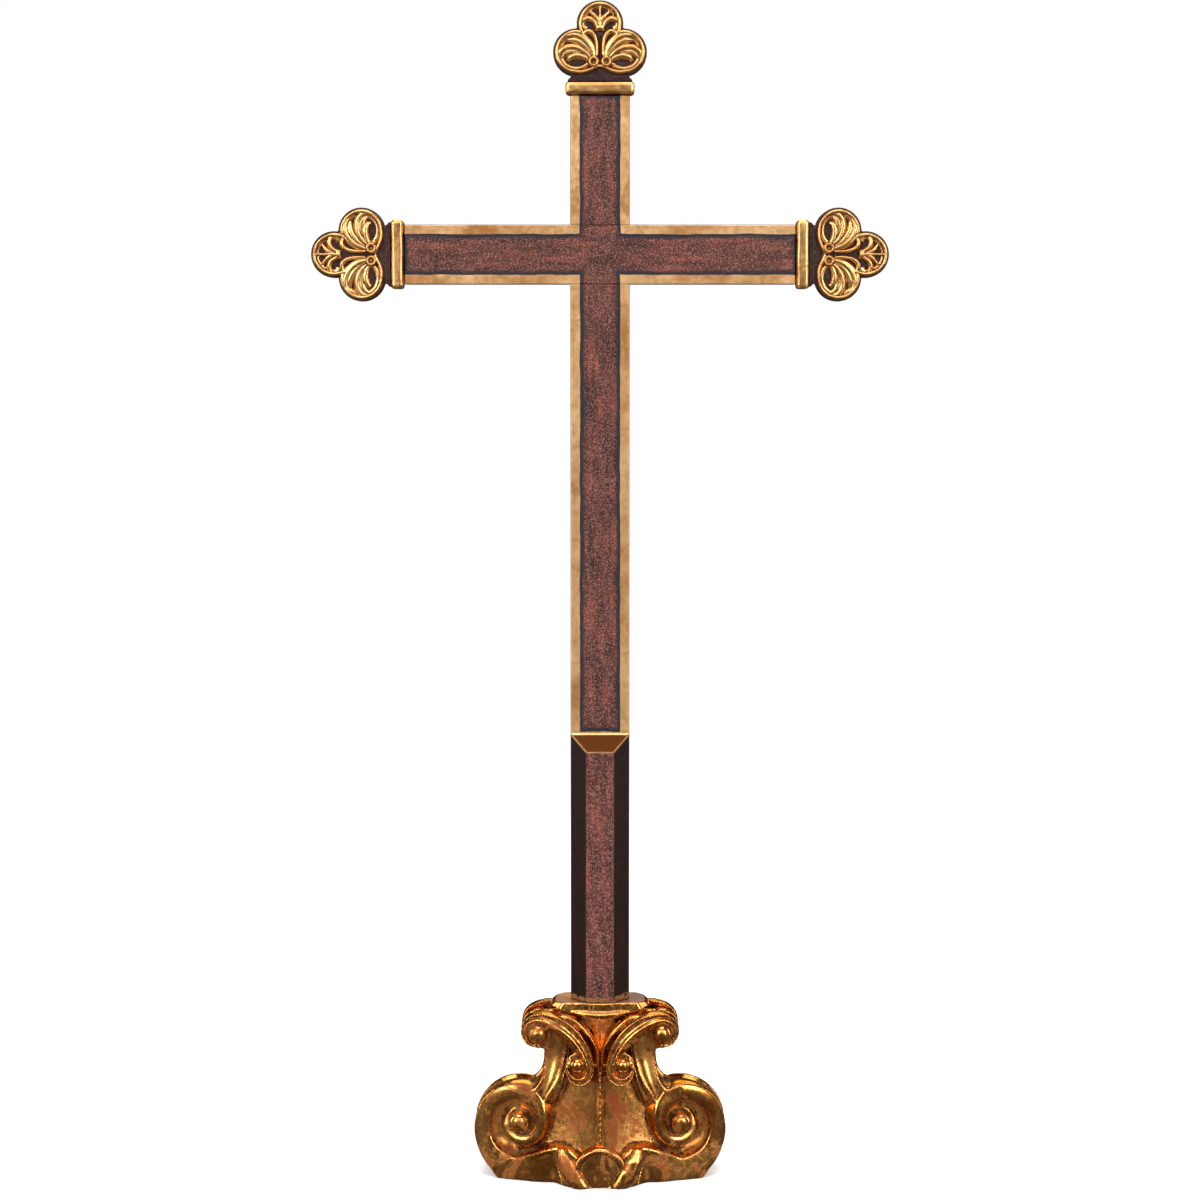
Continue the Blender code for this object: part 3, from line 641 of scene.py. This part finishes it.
strapSection = [(-1, 0.35), (-0.96, 0.85), (-0.86, 1.0), (-0.76, 0.92), (-0.62, 0.6), (-0.42, 0.48),
                (-0.2, 0.58), (0, 0.86), (0.15, 0.98), (0.32, 0.9), (0.52, 0.6), (0.75, 0.34), (1, 0.15)]
beadLine = [(25.0, 85.3, 0.8, 1.6), (17.7, 84.9, 1.2, 2.4), (13.2, 83.2, 1.4, 2.6), (7.9, 78.3, 1.4, 2.7),
            (3.6, 72.6, 1.3, 2.6), (1.5, 67.6, 1.2, 2.4), (1.0, 61.5, 1.0, 1.8), (0.9, 55.5, 0.7, 0.6)]


def strapLevel(x, z):
    middle = float(np.interp(z, [50, 60, 70, 80, 88], [17.6, 17.0, 15.8, 14.6, 13.4]))
    out = float(ramp(np.array(abs(x)), 17, 31))
    return middle * (1 - out) + float(planeDepth(abs(x), z)) * out


def footStrap():
    form = bmesh.new()
    sweep(form, smoothPath(strapLine, 5), strapSection, sunk=3.0, level=strapLevel)
    sweep(form, smoothPath(beadLine, 5), roundSection, sunk=2.5, level=lambda x, z: strapLevel(x, z) - 1.6)
    capEye, curl = foot["capEye"], strap["curl"]
    addBall(form, (capEye[0], -strapLevel(*capEye) - 1.6, capEye[1]), foot["capEyeRadius"], (1, 0.9, 1), 4)
    addBall(form, (curl[0], -strapLevel(*curl) - 1.5, curl[1]), strap["curlBall"], (1, 1, 1), 4)
    addDisc(form, capEye, 6.4, planeDepth(*capEye) - 3, planeDepth(*capEye) + 0.4)
    addDisc(form, curl, 5.6, strapLevel(*curl) - 3, strapLevel(*curl) + 0.5)
    piece = reskin(toPiece("footStrap", form), foot["strapVoxel"], 2)
    return roughen(piece, *strap["waves"])


def cartouche():
    form = bmesh.new()
    rim = [(12.0 * math.cos(a), 9.0 + 10.6 * math.sin(a)) for a in np.radians(np.linspace(-4, 184, 36))]
    addSlab(form, rim + [(-6.6, 0.0), (6.6, 0.0)], 0.5)
    for vert in form.verts:
        x, z = vert.co.x / mm, vert.co.z / mm
        vert.co.y = -float(cartoucheField(x, z)) * mm if vert.co.y < 0 else -17 * mm
    angles = np.radians(np.linspace(4, 176, 48))
    path = [(11.7 * math.cos(a), 9.0 + 10.3 * math.sin(a), 1.5, 2.0) for a in angles]
    sweep(form, path, roundSection, sunk=3, level=lambda x, z: float(cartoucheField(x, z)) - 0.55)
    piece = reskin(toPiece("cartouche_frontShell", form), foot["strapVoxel"], 2)

    def dome(places, normals):
        inside = np.clip(1 - (places[:, 0] / 10.2) ** 2 - ((places[:, 2] - 8.5) / 9) ** 2, 0, 1)
        front = ramp(-normals[:, 1], 0.4, 0.8)
        moved = places.copy()
        moved[:, 1] -= (1.0 * np.sqrt(inside) - 0.9) * front * (places[:, 2] < 19) * (inside > 0)
        moved[:, 1] = np.maximum(moved[:, 1], -foot["furthest"])
        return moved

    return reshape(piece, dome)


cap = {"bow": 1.6, "cant": 4.2, "arch": 4.2, "lipHalf": 14.5, "voxel": 0.45, "waves": (0.08, 4.0, 5)}


def footCap():
    form = bmesh.new()
    half, deep = capHigh.x, capHigh.y
    bow, cant = cap["bow"], cap["cant"]
    outline = []
    for sign in (-1, 1):
        for t in np.linspace(-1, 1, 13):
            outline.append((-sign * t * (half - cant), sign * (deep - bow + bow * (1 - t * t))))
        outline += [(-sign * half, sign * (deep - bow - cant)), (-sign * half, -sign * (deep - bow - cant))]
    face = form.faces.new([form.verts.new(Vector((x, y, capLow.z)) * mm) for x, y in outline])
    grown = bmesh.ops.extrude_face_region(form, geom=[face])["geom"]
    for vert in [item for item in grown if isinstance(item, bmesh.types.BMVert)]:
        vert.co.z = capHigh.z * mm
    piece = reskin(toPiece("footCapPlate", form), 0.5, 1)

    def cavetto(places, normals):
        x, z = np.abs(places[:, 0]), places[:, 2]
        low = capLow.z + 0.4 + cap["arch"] * np.clip(x / half, 0, 1) ** 1.7
        rise = np.clip((z - low) / (capHigh.z - low), 0, 1)
        shrink = 1 - 0.105 * rise**0.7 - 0.16 * ramp(low - z, -0.3, 0.8)
        moved = places.copy()
        moved[:, :2] *= shrink[:, None]
        return moved

    reshape(piece, cavetto)
    form = bmesh.new()
    form.from_mesh(piece.data)
    lip = []
    for x in np.linspace(-cap["lipHalf"], cap["lipHalf"], 31):
        width = 0.35 + 0.95 * float(ramp(np.array(-abs(x)), -14, -7))
        height = 0.3 + 1.3 * float(ramp(np.array(-abs(x)), -14, -6))
        lip.append((x, capLow.z + 1.1 + cap["arch"] * (abs(x) / half) ** 1.7, width, height))
    for facing in (1, -1):
        known = set(form.verts)
        sweep(form, lip, roundSection, sunk=2, level=lambda x, z: deep - bow * (x / (half - cant)) ** 2 - 0.2)
        if facing < 0:
            fresh = [vert for vert in form.verts if vert not in known]
            bmesh.ops.scale(form, verts=fresh, vec=(1, -1, 1))
    bmesh.ops.recalc_face_normals(form, faces=form.faces)
    form.to_mesh(piece.data)
    form.free()
    reskin(piece, cap["voxel"], 2)
    return roughen(piece, *cap["waves"])


frontRight = footStrap()
straps = {
    "strap_front_right": frontRight,
    "strap_front_left": mirrored(frontRight, "footStrap_fl", x=-1),
    "strap_rear_right": mirrored(frontRight, "footStrap_rr", y=-1),
    "strap_rear_left": mirrored(frontRight, "footStrap_rl", x=-1, y=-1),
}
for node, piece in straps.items():
    piece.name = piece.data.name = node.replace("strap", "strapBand")
    finishCarved(piece, [node])
shieldFront = cartouche()
shieldRear = mirrored(shieldFront, "cartouche_rearShell", y=-1)
finishCarved(shieldFront, ["cartouche_front"])
finishCarved(shieldRear, ["cartouche_rear"])
capPlate = finishCarved(footCap(), ["cap_plate"])
print("foot done", len(frontRight.data.polygons), len(shieldFront.data.polygons), len(capPlate.data.polygons))


lap = {"gap": 0.34, "short": 0.3, "deep": 2.4, "sunk": 0.1}


def lapFillers():  # gesso that closes the saw cuts round the halved joint
    form = bmesh.new()
    gap, deep = lap["gap"], lap["deep"]
    half = halfMember - lap["short"]
    spots = [(0, crossing + facing * (halfMember + gap / 2), half, gap / 2 + 0.12, -1) for facing in (-1, 1)]
    spots += [(facing * (halfMember + gap / 2), crossing, gap / 2 + 0.12, half, 1) for facing in (-1, 1)]
    for x, z, wide, high, face in spots:
        made = bmesh.ops.create_cube(form, size=1)["verts"]
        bmesh.ops.scale(form, verts=made, vec=Vector((2 * wide, deep, 2 * high)) * mm)
        out = face * (halfPlank - lap["sunk"] - deep / 2)
        bmesh.ops.translate(form, verts=made, vec=Vector((x, out, z)) * mm)
    roundEdges(form, 0.08, 2)
    piece = toPiece("lapGesso", form)
    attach(piece, "root")
    return piece


lapGesso = lapFillers()

print("finishes")


# One output of a node, so that sums of them read as sums
class Flow:
    def __init__(self, made, outlet):
        self.made = made
        self.outlet = outlet
        self.tree = made.id_data

    def __add__(self, other):
        return maths("ADD", self, other)

    def __radd__(self, other):
        return maths("ADD", other, self)

    def __sub__(self, other):
        return maths("SUBTRACT", self, other)

    def __rsub__(self, other):
        return maths("SUBTRACT", other, self)

    def __mul__(self, other):
        return maths("MULTIPLY", self, other)

    def __abs__(self):
        return maths("ABSOLUTE", self)


# Sets or links the inputs of a node, by name or by number (i0, i1)
def fill(made, **values):
    for key, value in values.items():
        socket = made.inputs[int(key[1:]) if key[1:].isdigit() else key.replace("_", " ")]
        if isinstance(value, Flow):
            made.id_data.links.new(value.made.outputs[value.outlet], socket)
        elif socket.type == "RGBA":
            socket.default_value = (*value[:3], 1)
        else:
            socket.default_value = value


def node(tree, kind, outlet=0, settings=None, **values):
    made = tree.nodes.new(kind)
    for key, value in (settings or {}).items():
        setattr(made, key, value)
    fill(made, **values)
    return Flow(made, outlet)


def maths(operation, a, b=0.0, clamp=False):
    tree = (a if isinstance(a, Flow) else b).tree
    return node(tree, "ShaderNodeMath", 0, {"operation": operation, "use_clamp": clamp}, i0=a, i1=b)


def lesser(a, b):
    return maths("MINIMUM", a, b)


def greater(a, b):
    return maths("MAXIMUM", a, b)


def vectorMath(operation, outlet=0, **values):
    return node(values["i0"].tree, "ShaderNodeVectorMath", outlet, {"operation": operation}, **values)


# The three parts of a vector
def apart(vector):
    split = node(vector.tree, "ShaderNodeSeparateXYZ", 0, None, i0=vector)
    return [Flow(split.made, outlet) for outlet in range(3)]


# Mixes two colours
def blend(share, a, b):
    return node(share.tree, "ShaderNodeMix", 2, {"data_type": "RGBA"}, i0=share, i6=a, i7=b)


# A soft step from 0 to 1
def step(value, low, high):
    soft = {"interpolation_type": "SMOOTHSTEP"}
    return node(value.tree, "ShaderNodeMapRange", 0, soft, i0=value, i1=low, i2=high)


def noise(where, scale, detail=4.0, rough=0.55, bend=0.0, outlet=0):
    values = {"Vector": where, "Scale": scale, "Detail": detail, "Roughness": rough, "Distortion": bend}
    return node(where.tree, "ShaderNodeTexNoise", outlet, None, **values)


def stretched(where, scale):
    return node(where.tree, "ShaderNodeMapping", 0, None, Vector=where, Scale=scale)


def bumped(height, strength, distance):
    return node(height.tree, "ShaderNodeBump", 0, None, Strength=strength, Distance=distance, Height=height)


def newGroup(name, inlets, outlets):
    group = bpy.data.node_groups.new(name, "ShaderNodeTree")
    for label, kind, value in inlets:
        socket = group.interface.new_socket(name=label, in_out="INPUT", socket_type="NodeSocket" + kind)
        if value is not None:
            socket.default_value = value
    for label, kind in outlets:
        group.interface.new_socket(name=label, in_out="OUTPUT", socket_type="NodeSocket" + kind)
    given = group.nodes.new("NodeGroupInput")
    return group, [Flow(given, outlet) for outlet in range(len(inlets))], group.nodes.new("NodeGroupOutput")


# Burnished leaf over red bole: tone from leaf to leaf, lap seams, rubbed patches and specks
def leafGoldGroup():
    group, given, out = newGroup(
        "leafGold",
        [("Vector", "Vector", None), ("Light Gold", "Color", (0.78, 0.37, 0.10, 1)),
         ("Deep Gold", "Color", (0.40, 0.138, 0.025, 1)), ("Bole", "Color", (0.13, 0.013, 0.006, 1)),
         ("Rubbing", "Float", 0.5), ("Seed", "Float", 0.0)],
        [("Color", "Color"), ("Metallic", "Float"), ("Roughness", "Float"), ("Height", "Float")],
    )
    where, light, deep, bole, rubbing, seed = given
    where = vectorMath("ADD", i0=where, i1=node(group, "ShaderNodeCombineXYZ", 0, None, i0=seed, i2=seed))
    fine = noise(where, 420, 5, 0.65)
    tone = step(noise(where, 38, 4, 0.55, 0.5) * 0.75 + fine * 0.25, 0.28, 0.66)
    wander = vectorMath("SCALE", i0=noise(where, 35, 2, 0.5, 0, 1), Scale=0.012)
    laps = {"Vector": vectorMath("ADD", i0=where, i1=wander), "Scale": 17.0, "Randomness": 0.6}
    seam = node(group, "ShaderNodeTexVoronoi", 0, {"feature": "DISTANCE_TO_EDGE"}, **laps)
    seams = (1.0 - step(seam, 0.004, 0.016)) * step(fine, 0.42, 0.6)
    colour = blend(seams * 0.5, blend(tone, deep, light), (0.30, 0.10, 0.03))
    threshold = 0.74 - rubbing * 0.2
    rubbed = step(noise(where, 48, 6, 0.72, 0.8), threshold, threshold + 0.07)
    speck = step(noise(where, 1100, 3, 0.7), 0.69, 0.78)
    bare = greater(rubbed * 0.8, speck * 0.35)
    rough = 0.19 + step(fine, 0.35, 0.7) * 0.12 + bare * 0.14
    height = noise(where, 95, 2, 0.4) * 0.93 + fine * 0.07 - bare * 0.12
    fill(out, Color=blend(bare, colour, bole), Metallic=1.0 - bare * 0.75, Roughness=rough, Height=height)
    return group


# Dark wax patina and painted shade in the hollows, and red bole showing on the rubbed edges, from each
# point's own hollowness
def ageGroup():
    group, given, out = newGroup(
        "ageing",
        [("Vector", "Vector", None), ("Dirt", "Float", 1.0), ("Wear", "Float", 1.0), ("Depth", "Float", 1.0)],
        [("Hollow", "Float"), ("Edge", "Float")],
    )
    where, dirt, wear, depth = given
    fineMark = node(group, "ShaderNodeAttribute", 2, {"attribute_name": "fineHollow"}) * depth
    wideMark = node(group, "ShaderNodeAttribute", 2, {"attribute_name": "wideHollow"}) * depth
    # The hollow mask darkens creases and recesses: partly the wax patina, partly painted shade
    waxAndShadePatches = 0.55 + step(noise(where, 260, 5, 0.65, 0.3), 0.3, 0.65) * 0.6
    hollow = greater(step(fineMark, 0.01, 0.05), step(wideMark, 0.06, 0.26)) * waxAndShadePatches
    rub = step(noise(where, 150, 5, 0.7, 0.5), 0.5, 0.66)
    edge = step(fineMark * -1.0, 0.05, 0.13) * rub
    fill(out, Hollow=maths("MULTIPLY", hollow, dirt, True), Edge=maths("MULTIPLY", edge, wear, True))
    return group


# Fine stipple with painted glints on its raised specks, and brush marks of a hand-laid paint
def grainGroup():
    group, given, out = newGroup(
        "handPaint",
        [("Vector", "Vector", None), ("Along", "Vector", (1, 1, 0.06)),
         ("Dark", "Color", (0.026, 0.011, 0.010, 1)), ("Bright", "Color", (0.115, 0.032, 0.023, 1)),
         ("Streak", "Color", (0.21, 0.038, 0.024, 1)),
         ("Speck", "Float", 0.7)],
        [("Color", "Color"), ("Roughness", "Float"), ("Height", "Float")],
    )
    where, along, dark, bright, streakTone, speck = given
    drawn = vectorMath("MULTIPLY", i0=where, i1=along)
    streak = noise(drawn, 330, 5, 0.62, 0.3)
    hair = noise(drawn, 1400, 3, 0.6)
    stipple = noise(where, 1500, 3, 0.65)
    tone = streak * 0.5 + (hair * 0.25 + noise(where, 30, 3, 0.5, 0.3) * 0.25)
    colour = blend(step(tone, 0.38, 0.64), dark, bright)
    colour = blend(step(streak, 0.54, 0.70) * 0.5, colour, streakTone)
    # Light specks on the raised stipple are painted glints
    colour = blend(step(stipple, 0.52, 0.62) * speck, colour, (0.23, 0.115, 0.09))
    colour = blend(step(stipple, 0.48, 0.36) * 0.7, colour, (0.012, 0.006, 0.006))
    fill(out, Color=colour, Roughness=0.36 + streak * 0.22, Height=stipple * 0.7 + hair * 0.3)
    return group


leafGold, ageing, handPaint = leafGoldGroup(), ageGroup(), grainGroup()


def useGroup(group, where, **values):
    made = where.tree.nodes.new("ShaderNodeGroup")
    made.node_tree = group
    fill(made, Vector=where, **values)
    return [Flow(made, outlet) for outlet in range(len(made.outputs))]


def newFinish(name, slotColour, **shine):
    finish = bpy.data.materials.new(name)
    finish.use_nodes = True
    finish.diffuse_color = slotColour
    shader = finish.node_tree.nodes["Principled BSDF"]
    fill(shader, **shine)
    return finish, shader, node(finish.node_tree, "ShaderNodeTexCoord", "Object")


gilding = {
    "shine": {"Specular_IOR_Level": 0.12, "Specular_Tint": (0.88, 0.60, 0.36)},
    # The second colour darkens hollows, partly wax patina and partly painted shade; the third is a painted
    # grey-brown sheen for the cap's upward faces
    "edge": (0.19, 0.028, 0.012), "waxAndShade": (0.045, 0.016, 0.007), "topSheen": (0.17, 0.085, 0.045),
}


def carvedGold(name, seed, rubbing, dirt=1.0, wear=1.0, bump=0.35, depth=1.0, dull=0.0, **tones):
    finish, shader, where = newFinish(name, (0.8, 0.5, 0.2, 1), **gilding["shine"])
    leaf, metal, rough, grain = useGroup(leafGold, where, Rubbing=rubbing, Seed=seed, **tones)
    hollow, edge = useGroup(ageing, where, Dirt=dirt, Wear=wear, Depth=depth)
    # Hollows take the dark colour, partly wax patina and partly painted shade; rubbed edges show red bole
    waxedAndShaded = blend(hollow, blend(edge, leaf, gilding["edge"]), gilding["waxAndShade"])
    dulledShare = greater(hollow * 0.75, edge * 0.6)
    fill(shader, Base_Color=waxedAndShaded, Metallic=metal * (1.0 - dulledShare), Roughness=rough + dull + dulledShare * 0.22,
         Normal=bumped(grain, bump, 0.0012))
    return finish


# Gilded cap plate with a painted grey-brown sheen on its top and painted shade with the wax in its hollows
def capGold(name):
    finish, shader, where = newFinish(name, (0.7, 0.45, 0.2, 1), **gilding["shine"])
    leaf, metal, rough, grain = useGroup(leafGold, where, Rubbing=0.75, Seed=0.45)
    hollow, edge = useGroup(ageing, where, Dirt=0.4, Wear=1.0)
    upward = apart(node(where.tree, "ShaderNodeNewGeometry", 1))[2]
    # Upward faces turn a dull grey-brown in patches: a painted sheen standing in for the reflection the top
    # catches
    dulledShare = step(upward, 0.75, 0.95) * step(noise(where, 60, 4, 0.6), 0.25, 0.55)
    sheenedTop = blend(dulledShare, blend(edge, leaf, gilding["edge"]), gilding["topSheen"])
    dull = greater(hollow * 0.75, dulledShare * 0.85)
    # Hollows go dark, partly wax patina and partly painted shade
    fill(shader, Base_Color=blend(hollow, sheenedTop, gilding["waxAndShade"]), Metallic=metal * (1.0 - dull),
         Roughness=rough + dull * 0.25, Normal=bumped(grain, 0.3, 0.001))
    return finish


paint = {
    # The colour for the sides is painted shade on the plank sides and chamfers; the slope colour is painted
    # shade on the gilded slope below the stop
    "stop": 229.5, "border": 4.7, "line": 1.9, "ink": (0.012, 0.014, 0.019), "sides": (0.006, 0.0014, 0.0005),
    "lightLeaf": (0.84, 0.51, 0.24), "deepLeaf": (0.50, 0.22, 0.065), "lowLeaf": (0.16, 0.035, 0.010),
    "shadedSlopeLeaf": (0.085, 0.023, 0.003),
}


# Painted panels inside gilded borders, with a wavy dark line drawn between them; painted shade on the plank
# sides and on the gilded slope below the stop
def crossPaint(name, along, onShaft):
    finish, shader, where = newFinish(name, (0.12, 0.04, 0.035, 1), Specular_IOR_Level=0.13)
    stop, line = paint["stop"], paint["line"]
    x, y, z = (place * 1000.0 for place in apart(where))
    loose = (noise(where, 75, 2, 0.5) - 0.5) * 3.6 + (noise(where, 420, 3, 0.6) - 0.5) * 0.9
    panel = halfMember - paint["border"]
    inside = greater(lesser(panel - abs(x), z - (stop + 1.0)), panel - abs(z - crossing))
    ends = lesser(crossHigh.x - abs(x), shaftHigh.z - z)
    gilt = 1.0 - step(inside + loose * 0.34, -0.15, 0.2)
    fromLine = lesser(inside, ends + 0.6) + loose * 0.75
    inked = 1.0 - step(fromLine, line - 0.9, line + 1.4)
    onFace = step(abs(y), halfPlank - 0.45, halfPlank - 0.1)
    above = step(z, stop - 0.6, stop - 0.3)
    facing = apart(node(where.tree, "ShaderNodeNewGeometry", 1))
    frontal = abs(facing[1])
    slope = step(z, stop - 8.9, stop - 8.0) * (1.0 - above) * step(facing[2], 0.3, 0.5)
    gold = greater(gilt * onFace * (above * step(frontal, 0.5, 0.8)), slope)
    if onShaft:
        smear = step(z - shaftLow.z + loose * 1.2, 3.4, 1.9)
        gold = greater(gold, smear * step(noise(where, 500, 4, 0.6), 0.38, 0.5))
    painted, paintRough, paintGrain = useGroup(handPaint, where, Along=along)
    tones = {"Light_Gold": paint["lightLeaf"], "Deep_Gold": paint["deepLeaf"]}
    leaf, metal, leafRough, leafGrain = useGroup(leafGold, where, Rubbing=0.4, Seed=0.31, **tones)
    inkedFace = inked * above
    field = blend(inkedFace * 0.92, painted, paint["ink"])
    # Faces that don't face front or back go near black: painted shade on the plank sides and chamfers
    field = blend((1.0 - step(frontal, 0.75, 0.95)) * 0.93, field, paint["sides"])
    leaf = blend(step(z, stop - 20.0, stop - 30.0) * 0.65, leaf, paint["lowLeaf"])
    # The gilded slope below the stop is darkened: painted shade
    leaf = blend(slope, leaf, paint["shadedSlopeLeaf"])
    roughness = {"i0": gold, "i2": paintRough, "i3": leafRough + (slope * 0.2 + 0.1)}
    rough = node(where.tree, "ShaderNodeMix", 0, {"data_type": "FLOAT"}, **roughness)
    relief = paintGrain * (1.0 - gold) + leafGrain * (gold * 1.2) + inkedFace * -0.35
    fill(shader, Base_Color=blend(gold, field, leaf), Metallic=gold * 0.75 * metal, Roughness=rough,
         Normal=bumped(relief, 0.3, 0.0006))
    return finish


def darkPaint():
    finish, shader, where = newFinish("boardPaint", (0.08, 0.03, 0.03, 1), Specular_IOR_Level=0.12)
    tones = {"Dark": (0.010, 0.006, 0.006), "Bright": (0.032, 0.012, 0.010), "Streak": (0.045, 0.014, 0.010)}
    painted, rough, grain = useGroup(handPaint, where, Along=(1, 1, 1), Speck=0.16, **tones)
    hollow, edge = useGroup(ageing, where, Dirt=1.0, Wear=0.5)
    # Hollows of the board go near black, partly wax patina and partly painted shade
    colour = blend(edge, blend(hollow, painted, (0.006, 0.004, 0.004)), (0.10, 0.03, 0.018))
    fill(shader, Base_Color=colour, Roughness=rough, Normal=bumped(grain, 0.35, 0.0005))
    return finish


def turnedWood():
    finish, shader, where = newFinish("bareWood", (0.55, 0.38, 0.22, 1))
    grain = noise(stretched(where, (1, 1, 0.08)), 600, 6, 0.6, 0.6)
    colour = blend(step(grain, 0.3, 0.7), (0.46, 0.27, 0.12), (0.66, 0.46, 0.26))
    fill(shader, Base_Color=colour, Roughness=0.55 + grain * 0.25, Normal=bumped(grain, 0.3, 0.0005))
    return finish


def plainSteel():
    finish, shader, where = newFinish("steelFixing", (0.6, 0.6, 0.62, 1), Metallic=1)
    rings = noise(stretched(where, (1, 1, 9)), 700, 4, 0.6)
    stain = noise(where, 240, 5, 0.65, 0.4)
    colour = blend(step(stain, 0.52, 0.72), (0.48, 0.48, 0.47), (0.20, 0.12, 0.07))
    fill(shader, Base_Color=colour, Roughness=0.28 + stain * 0.35, Normal=bumped(rings, 0.25, 0.0004))
    return finish


goldFoot = carvedGold("gildedFoot", 0.0, 0.95, wear=0.55, bump=0.2)
goldCore = carvedGold("gildedCore", 0.23, 1.15, wear=0.12, bump=0.12)
paleLeaf = {"Light_Gold": (0.82, 0.48, 0.19), "Deep_Gold": (0.56, 0.27, 0.08)}
goldEnds = carvedGold("gildedEnds", 0.7, 0.3, wear=0.4, bump=0.08, depth=2.6, dull=0.12, **paleLeaf)
goldCap = capGold("gildedCap")
boardFinish = darkPaint()


def wearFinish(piece, finish):
    piece.data.materials.clear()
    piece.data.materials.append(finish)
    for polygon in piece.data.polygons:
        polygon.material_index = 0


wearFinish(core, goldCore)
for piece in [scrollLeft, scrollRight, shieldFront, shieldRear, *straps.values()]:
    wearFinish(piece, goldFoot)
for piece in reliefs + collars:
    wearFinish(piece, goldEnds)
for piece in boards:
    wearFinish(piece, boardFinish)
wearFinish(capPlate, goldCap)


def recoat(nodeName, finish):
    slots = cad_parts[nodeName].material_slots
    for slot in slots:
        slot.material = finish


stemPaint = crossPaint("stemPaint", (1, 1, 0.14), True)
wearFinish(lapGesso, stemPaint)
recoat("upright", stemPaint)
recoat("crossbar", crossPaint("barPaint", (0.14, 1, 1), False))
bareWood = turnedWood()
steel = plainSteel()
for nodeName in ("finial_dowel_top", "finial_dowel_left", "finial_dowel_right"):
    recoat(nodeName, bareWood)
for nodeName in ("tie_rod", "tie_washer", "tie_nut"):
    recoat(nodeName, steel)

print("light and camera")
view = {"distance": 1150, "height": 421.5, "pitch": 4, "lens": 67.85, "shift": -0.07}
cameraData = bpy.data.cameras.new("camera")
cameraData.lens = view["lens"]
cameraData.sensor_width = 36
cameraData.shift_y = view["shift"]
camera = bpy.data.objects.new("camera", cameraData)
camera.location = (0, -view["distance"] * mm, view["height"] * mm)
camera.rotation_euler = (math.radians(90 - view["pitch"]), 0, 0)
scene.collection.objects.link(camera)
scene.camera = camera

studio = {  # name: place, aim, size, watts
    "keyLeft": ((-1.0, -1.3, 1.0), (0, 0, 0.25), (0.5, 1.1), 21),
    "keyRight": ((1.0, -1.25, 0.9), (0, 0, 0.25), (0.45, 1.1), 18),
    "rear": ((0.3, 2.4, 1.5), (0, 0, 0.3), (1.6, 0.9), 16),
    "front": ((0.0, -2.4, 2.1), (0, 0, 0.35), (2.2, 0.9), 26),
    "cardLeft": ((-0.42, -0.34, 0.015), (-0.3, -0.24, 0.4), (0.34, 0.46), 0.12),
    "cardRight": ((0.42, -0.34, 0.015), (0.3, -0.24, 0.4), (0.34, 0.46), 0.12),
    "sideLeft": ((-1.7, 0.1, 0.6), (0, 0, 0.3), (0.35, 1.4), 9),
    "sideRight": ((1.7, 0.2, 0.6), (0, 0, 0.3), (0.35, 1.4), 9),
    "top": ((0, -0.1, 2.2), (0, 0, 0), (1.2, 0.8), 22),
}
for name, (place, aim, size, power) in studio.items():
    lampData = bpy.data.lights.new(name, "AREA")
    lampData.shape = "RECTANGLE"
    lampData.size, lampData.size_y = size
    lampData.energy = power
    lamp = bpy.data.objects.new(name, lampData)
    lamp.location = place
    lamp.rotation_euler = (Vector(aim) - Vector(place)).to_track_quat("-Z", "Y").to_euler()
    lamp.visible_camera = False
    scene.collection.objects.link(lamp)

form = bmesh.new()
bmesh.ops.create_grid(form, x_segments=1, y_segments=1, size=6)
floor = toPiece("floor", form)
floorFinish, shader, where = newFinish("paleFloor", (0.9, 0.9, 0.9, 1), Roughness=0.8, Specular_IOR_Level=0.1)
pale = blend(noise(where, 40, 3, 0.5), (0.84, 0.84, 0.84), (0.88, 0.88, 0.88))
glossy = node(where.tree, "ShaderNodeLightPath", "Is Glossy Ray")
outward = vectorMath("LENGTH", 1, i0=where)
fill(shader, Base_Color=blend(glossy, pale, (0.06, 0.05, 0.045)), Alpha=step(outward, 1.5, 0.5))
floor.data.materials.append(floorFinish)

world = bpy.data.worlds.new("studio")
world.use_nodes = True
glossy = node(world.node_tree, "ShaderNodeLightPath", "Is Glossy Ray")
seen = node(world.node_tree, "ShaderNodeLightPath", "Is Camera Ray")
soft = blend(glossy, (0.62, 0.62, 0.63), (0.06, 0.052, 0.047))
fill(world.node_tree.nodes["Background"], Color=blend(seen, soft, (1, 1, 1)))
scene.world = world
scene.view_settings.view_transform = "Standard"
